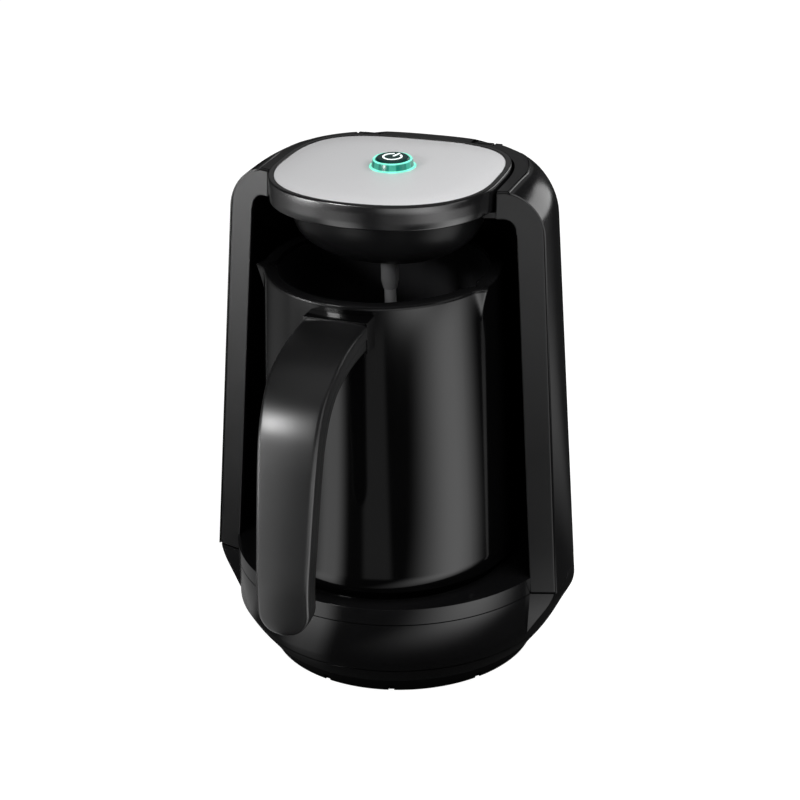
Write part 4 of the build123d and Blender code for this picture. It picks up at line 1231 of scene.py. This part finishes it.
CAMERA_AZIMUTH = 20.39      # degrees round from the front
CAMERA_ELEVATION = 24.40
CAMERA_ROLL = -1.5
CAMERA_DISTANCE = 1050.0    # millimetres
CAMERA_TARGET = (1.04, 114.57)   # to the right, and up
CAMERA_LENS = 105.97
CAMERA_SENSOR = 36.0


def make_camera():
    """The camera, turned round its own view by the roll."""
    azimuth = math.radians(CAMERA_AZIMUTH)
    elevation = math.radians(CAMERA_ELEVATION)
    roll = math.radians(CAMERA_ROLL)
    back = Vector((math.sin(azimuth) * math.cos(elevation), -math.cos(azimuth) * math.cos(elevation),
                   math.sin(elevation)))
    level = Vector((math.cos(azimuth), math.sin(azimuth), 0.0))
    upright = back.cross(level)
    right = level * math.cos(roll) + upright * math.sin(roll)
    up = upright * math.cos(roll) - level * math.sin(roll)
    place = level * CAMERA_TARGET[0] + Vector((0.0, 0.0, CAMERA_TARGET[1])) + back * CAMERA_DISTANCE
    data = bpy.data.cameras.new("camera")
    data.lens = CAMERA_LENS
    data.sensor_width = CAMERA_SENSOR
    data.sensor_fit = "HORIZONTAL"
    data.clip_start = 0.05
    data.clip_end = 50.0
    camera = link("camera", data)
    turn = Matrix((right, up, back)).transposed().to_4x4()
    camera.matrix_world = Matrix.Translation(place * MM) @ turn
    bpy.context.scene.camera = camera


def make_floor():
    """A pale floor: white to the camera with a soft shadow, and bands of light in what reflects it.

    Turns are in degrees from the front towards +X, and distances from the middle in metres.
    """
    mesh = bpy.data.meshes.new("floor")
    reach = 6.0
    corners = [(-reach, -reach, 0), (reach, -reach, 0), (reach, reach, 0), (-reach, reach, 0)]
    mesh.from_pydata(corners, [], [(0, 1, 2, 3)])
    floor = link("floor", mesh)
    shader = Shader("floor_white")
    across, along, _ = shader.axes()
    along = along * -1.0
    turn = shader.one_of("ARCTAN2", across, along) * math.degrees(1.0)
    far = shader.one_of("SQRT", across * across + along * along)
    near = shader.step(far, 0.64, 0.615)
    distant = 1.0 - near
    swung = turn + 0.53 / (far * far)
    right = shader.band(swung, 38.0, 77.0, 80.0, 114.0) * shader.step(far, 0.09, 0.165) * near * 2.1
    left = shader.band(turn, -46.0, -30.0, -24.0, -12.0) * shader.step(far, 0.06, 0.15) * near * 1.45
    faint = shader.band(turn, -4.0, 1.0, 16.0, 21.0) * shader.step(far, 0.16, 0.22) * near * 0.22
    side = shader.band(turn, -80.0, -60.0, -50.0, -38.0) * far * far * 1.3
    far_left = shader.band(turn, -130.0, -85.0, -74.0, -62.0) * 0.26
    lid_right = shader.band(turn, 12.0, 47.0, 51.0, 84.0) * distant * 1.9
    lid_left = shader.band(turn, -100.0, -52.0, -48.0, -12.0) * distant * 0.9
    beyond = shader.band(turn, -8.0, 12.0, 30.0, 60.0) * shader.step(far, 0.62, 1.3) * 1.7
    back_right = shader.band(turn, 130.0, 142.0, 145.0, 157.0) * shader.step(far, 0.1, 0.45) * 0.33
    light = right + left + faint + side + far_left + lid_right + lid_left + beyond + back_right + 0.015
    laid = shader.add("ShaderNodeEmission", None, {"Strength": light})
    shown = shader.add("ShaderNodeEmission", None, {"Strength": 0.95})
    shaded = shader.add("ShaderNodeBsdfDiffuse", None, {"Color": (0.25, 0.25, 0.25, 1.0)})
    seen = shader.add("ShaderNodeAddShader", None, {0: shown.outputs[0], 1: shaded.outputs[0]})
    path = shader.add("ShaderNodeLightPath")
    both = shader.add("ShaderNodeMixShader", None,
                      {0: path.outputs["Is Camera Ray"], 1: laid.outputs[0], 2: seen.outputs[0]})
    shader.feed(shader.tree.nodes["Material Output"].inputs["Surface"], both.outputs[0])
    shader.tree.nodes.remove(shader.surface)
    mesh.materials.append(shader.material)


def soft_lamp(name, turn, height, far, aim, width, tall, radiance):
    """A rectangular soft lamp at a turn from the front, facing the middle; radiance 1 looks white."""
    data = bpy.data.lights.new(name, "AREA")
    data.shape = "RECTANGLE"
    data.size = width * MM
    data.size_y = tall * MM
    data.energy = radiance * math.pi * width * tall * MM * MM
    lamp = link(name, data)
    place = Vector((far * math.sin(math.radians(turn)), -far * math.cos(math.radians(turn)), height))
    direction = Vector((0.0, 0.0, aim)) - place
    lamp.rotation_euler = direction.to_track_quat("-Z", "Y").to_euler()
    lamp.location = place * MM
    lamp.visible_camera = False
    return lamp


WORLD_DARK = 0.03       # the world's strength for what isn't seen straight by the camera
LAMPS = (       # name, turn, height, distance, aim's height, width, length, radiance
    ("left_soft", -38, 480, 1300, 150, 900, 900, 1.0),
    ("left_spot", -29, 680, 1200, 150, 240, 200, 38.0),
    ("right_box", 80, 420, 1300, 150, 600, 700, 1.0),
    ("back_right", 150, 400, 1200, 200, 760, 460, 1.9),
    ("back_soft", 200, 780, 1300, 200, 1000, 600, 0.15),
    ("top_box", 10, 1400, 150, 200, 1300, 1100, 0.25),
    ("top_fill", 80, 900, 700, 200, 900, 900, 3.6),
    ("high_fill", 0, 1400, 100, 200, 1200, 1200, 1.2))


def make_lights():
    """Eight soft lamps; the two fills aren't seen in what reflects them."""
    for values in LAMPS:
        lamp = soft_lamp(*values)
        lamp.visible_glossy = not values[0].endswith("fill")


def make_world():
    """White to the camera; almost dark to the object, whose light comes from the lamps."""
    world = bpy.data.worlds.new("studio")
    world.use_nodes = True
    bpy.context.scene.world = world
    nodes = Nodes(world.node_tree)
    path = nodes.add("ShaderNodeLightPath")
    strength = nodes.add("ShaderNodeMapRange", None,
                         {"Value": path.outputs["Is Camera Ray"], "To Min": WORLD_DARK})
    background = nodes.tree.nodes["Background"]
    nodes.feed(background.inputs["Color"], (1.0, 1.0, 1.0, 1.0))
    nodes.feed(background.inputs["Strength"], strength.outputs[0])


class CoffeePanel(bpy.types.Panel):
    """Lists the pieces and their settings"""
    bl_idname = "VIEW3D_PT_coffee_maker"
    bl_label = "Coffee Maker"
    bl_space_type = "VIEW_3D"
    bl_region_type = "UI"
    bl_category = "Coffee Maker"

    def draw(self, context):
        for operator in OPERATORS:
            self.layout.operator(operator.bl_idname)
        for name in GROUPS:
            group = getattr(context.scene, name)
            box = self.layout.box()
            for key in group.__annotations__:
                box.prop(group, key)


GROUPS = {"coffee_housing": HousingSizes, "coffee_jug": JugSizes, "coffee_head": HeadSizes,
          "coffee_colours": FinishColours}
OPERATORS = [SideCovers, ArmFronts, Jug, Handle, Lid, ButtonTrim, Fasteners, CarriedPieces, Stage]
CLASSES = [*GROUPS.values(), *OPERATORS, CoffeePanel]


def register():
    for item in CLASSES:
        bpy.utils.register_class(item)
    for name, group in GROUPS.items():
        setattr(bpy.types.Scene, name, PointerProperty(type=group))


def unregister():
    for name in GROUPS:
        delattr(bpy.types.Scene, name)
    for item in reversed(CLASSES):
        bpy.utils.unregister_class(item)


def read_sizes(scene):
    """Takes the sizes from the scene's settings into the forms."""
    global HOUSING, JUG, HEAD
    HOUSING = Housing(scene.coffee_housing)
    JUG = Sizes(scene.coffee_jug)
    HEAD = Sizes(scene.coffee_head)


def main():
    register()
    FINISHES.update(make_finishes(bpy.context.scene.coffee_colours))
    read_sizes(bpy.context.scene)
    bpy.ops.coffee.stage()
    bpy.ops.coffee.side_covers()
    bpy.ops.coffee.arm_fronts()
    bpy.ops.coffee.jug()
    bpy.ops.coffee.handle()
    bpy.ops.coffee.lid()
    bpy.ops.coffee.button_trim()
    bpy.ops.coffee.fasteners()
    bpy.ops.coffee.carried_pieces()
    bpy.context.view_layer.update()


if __name__ == "__main__":
    main()
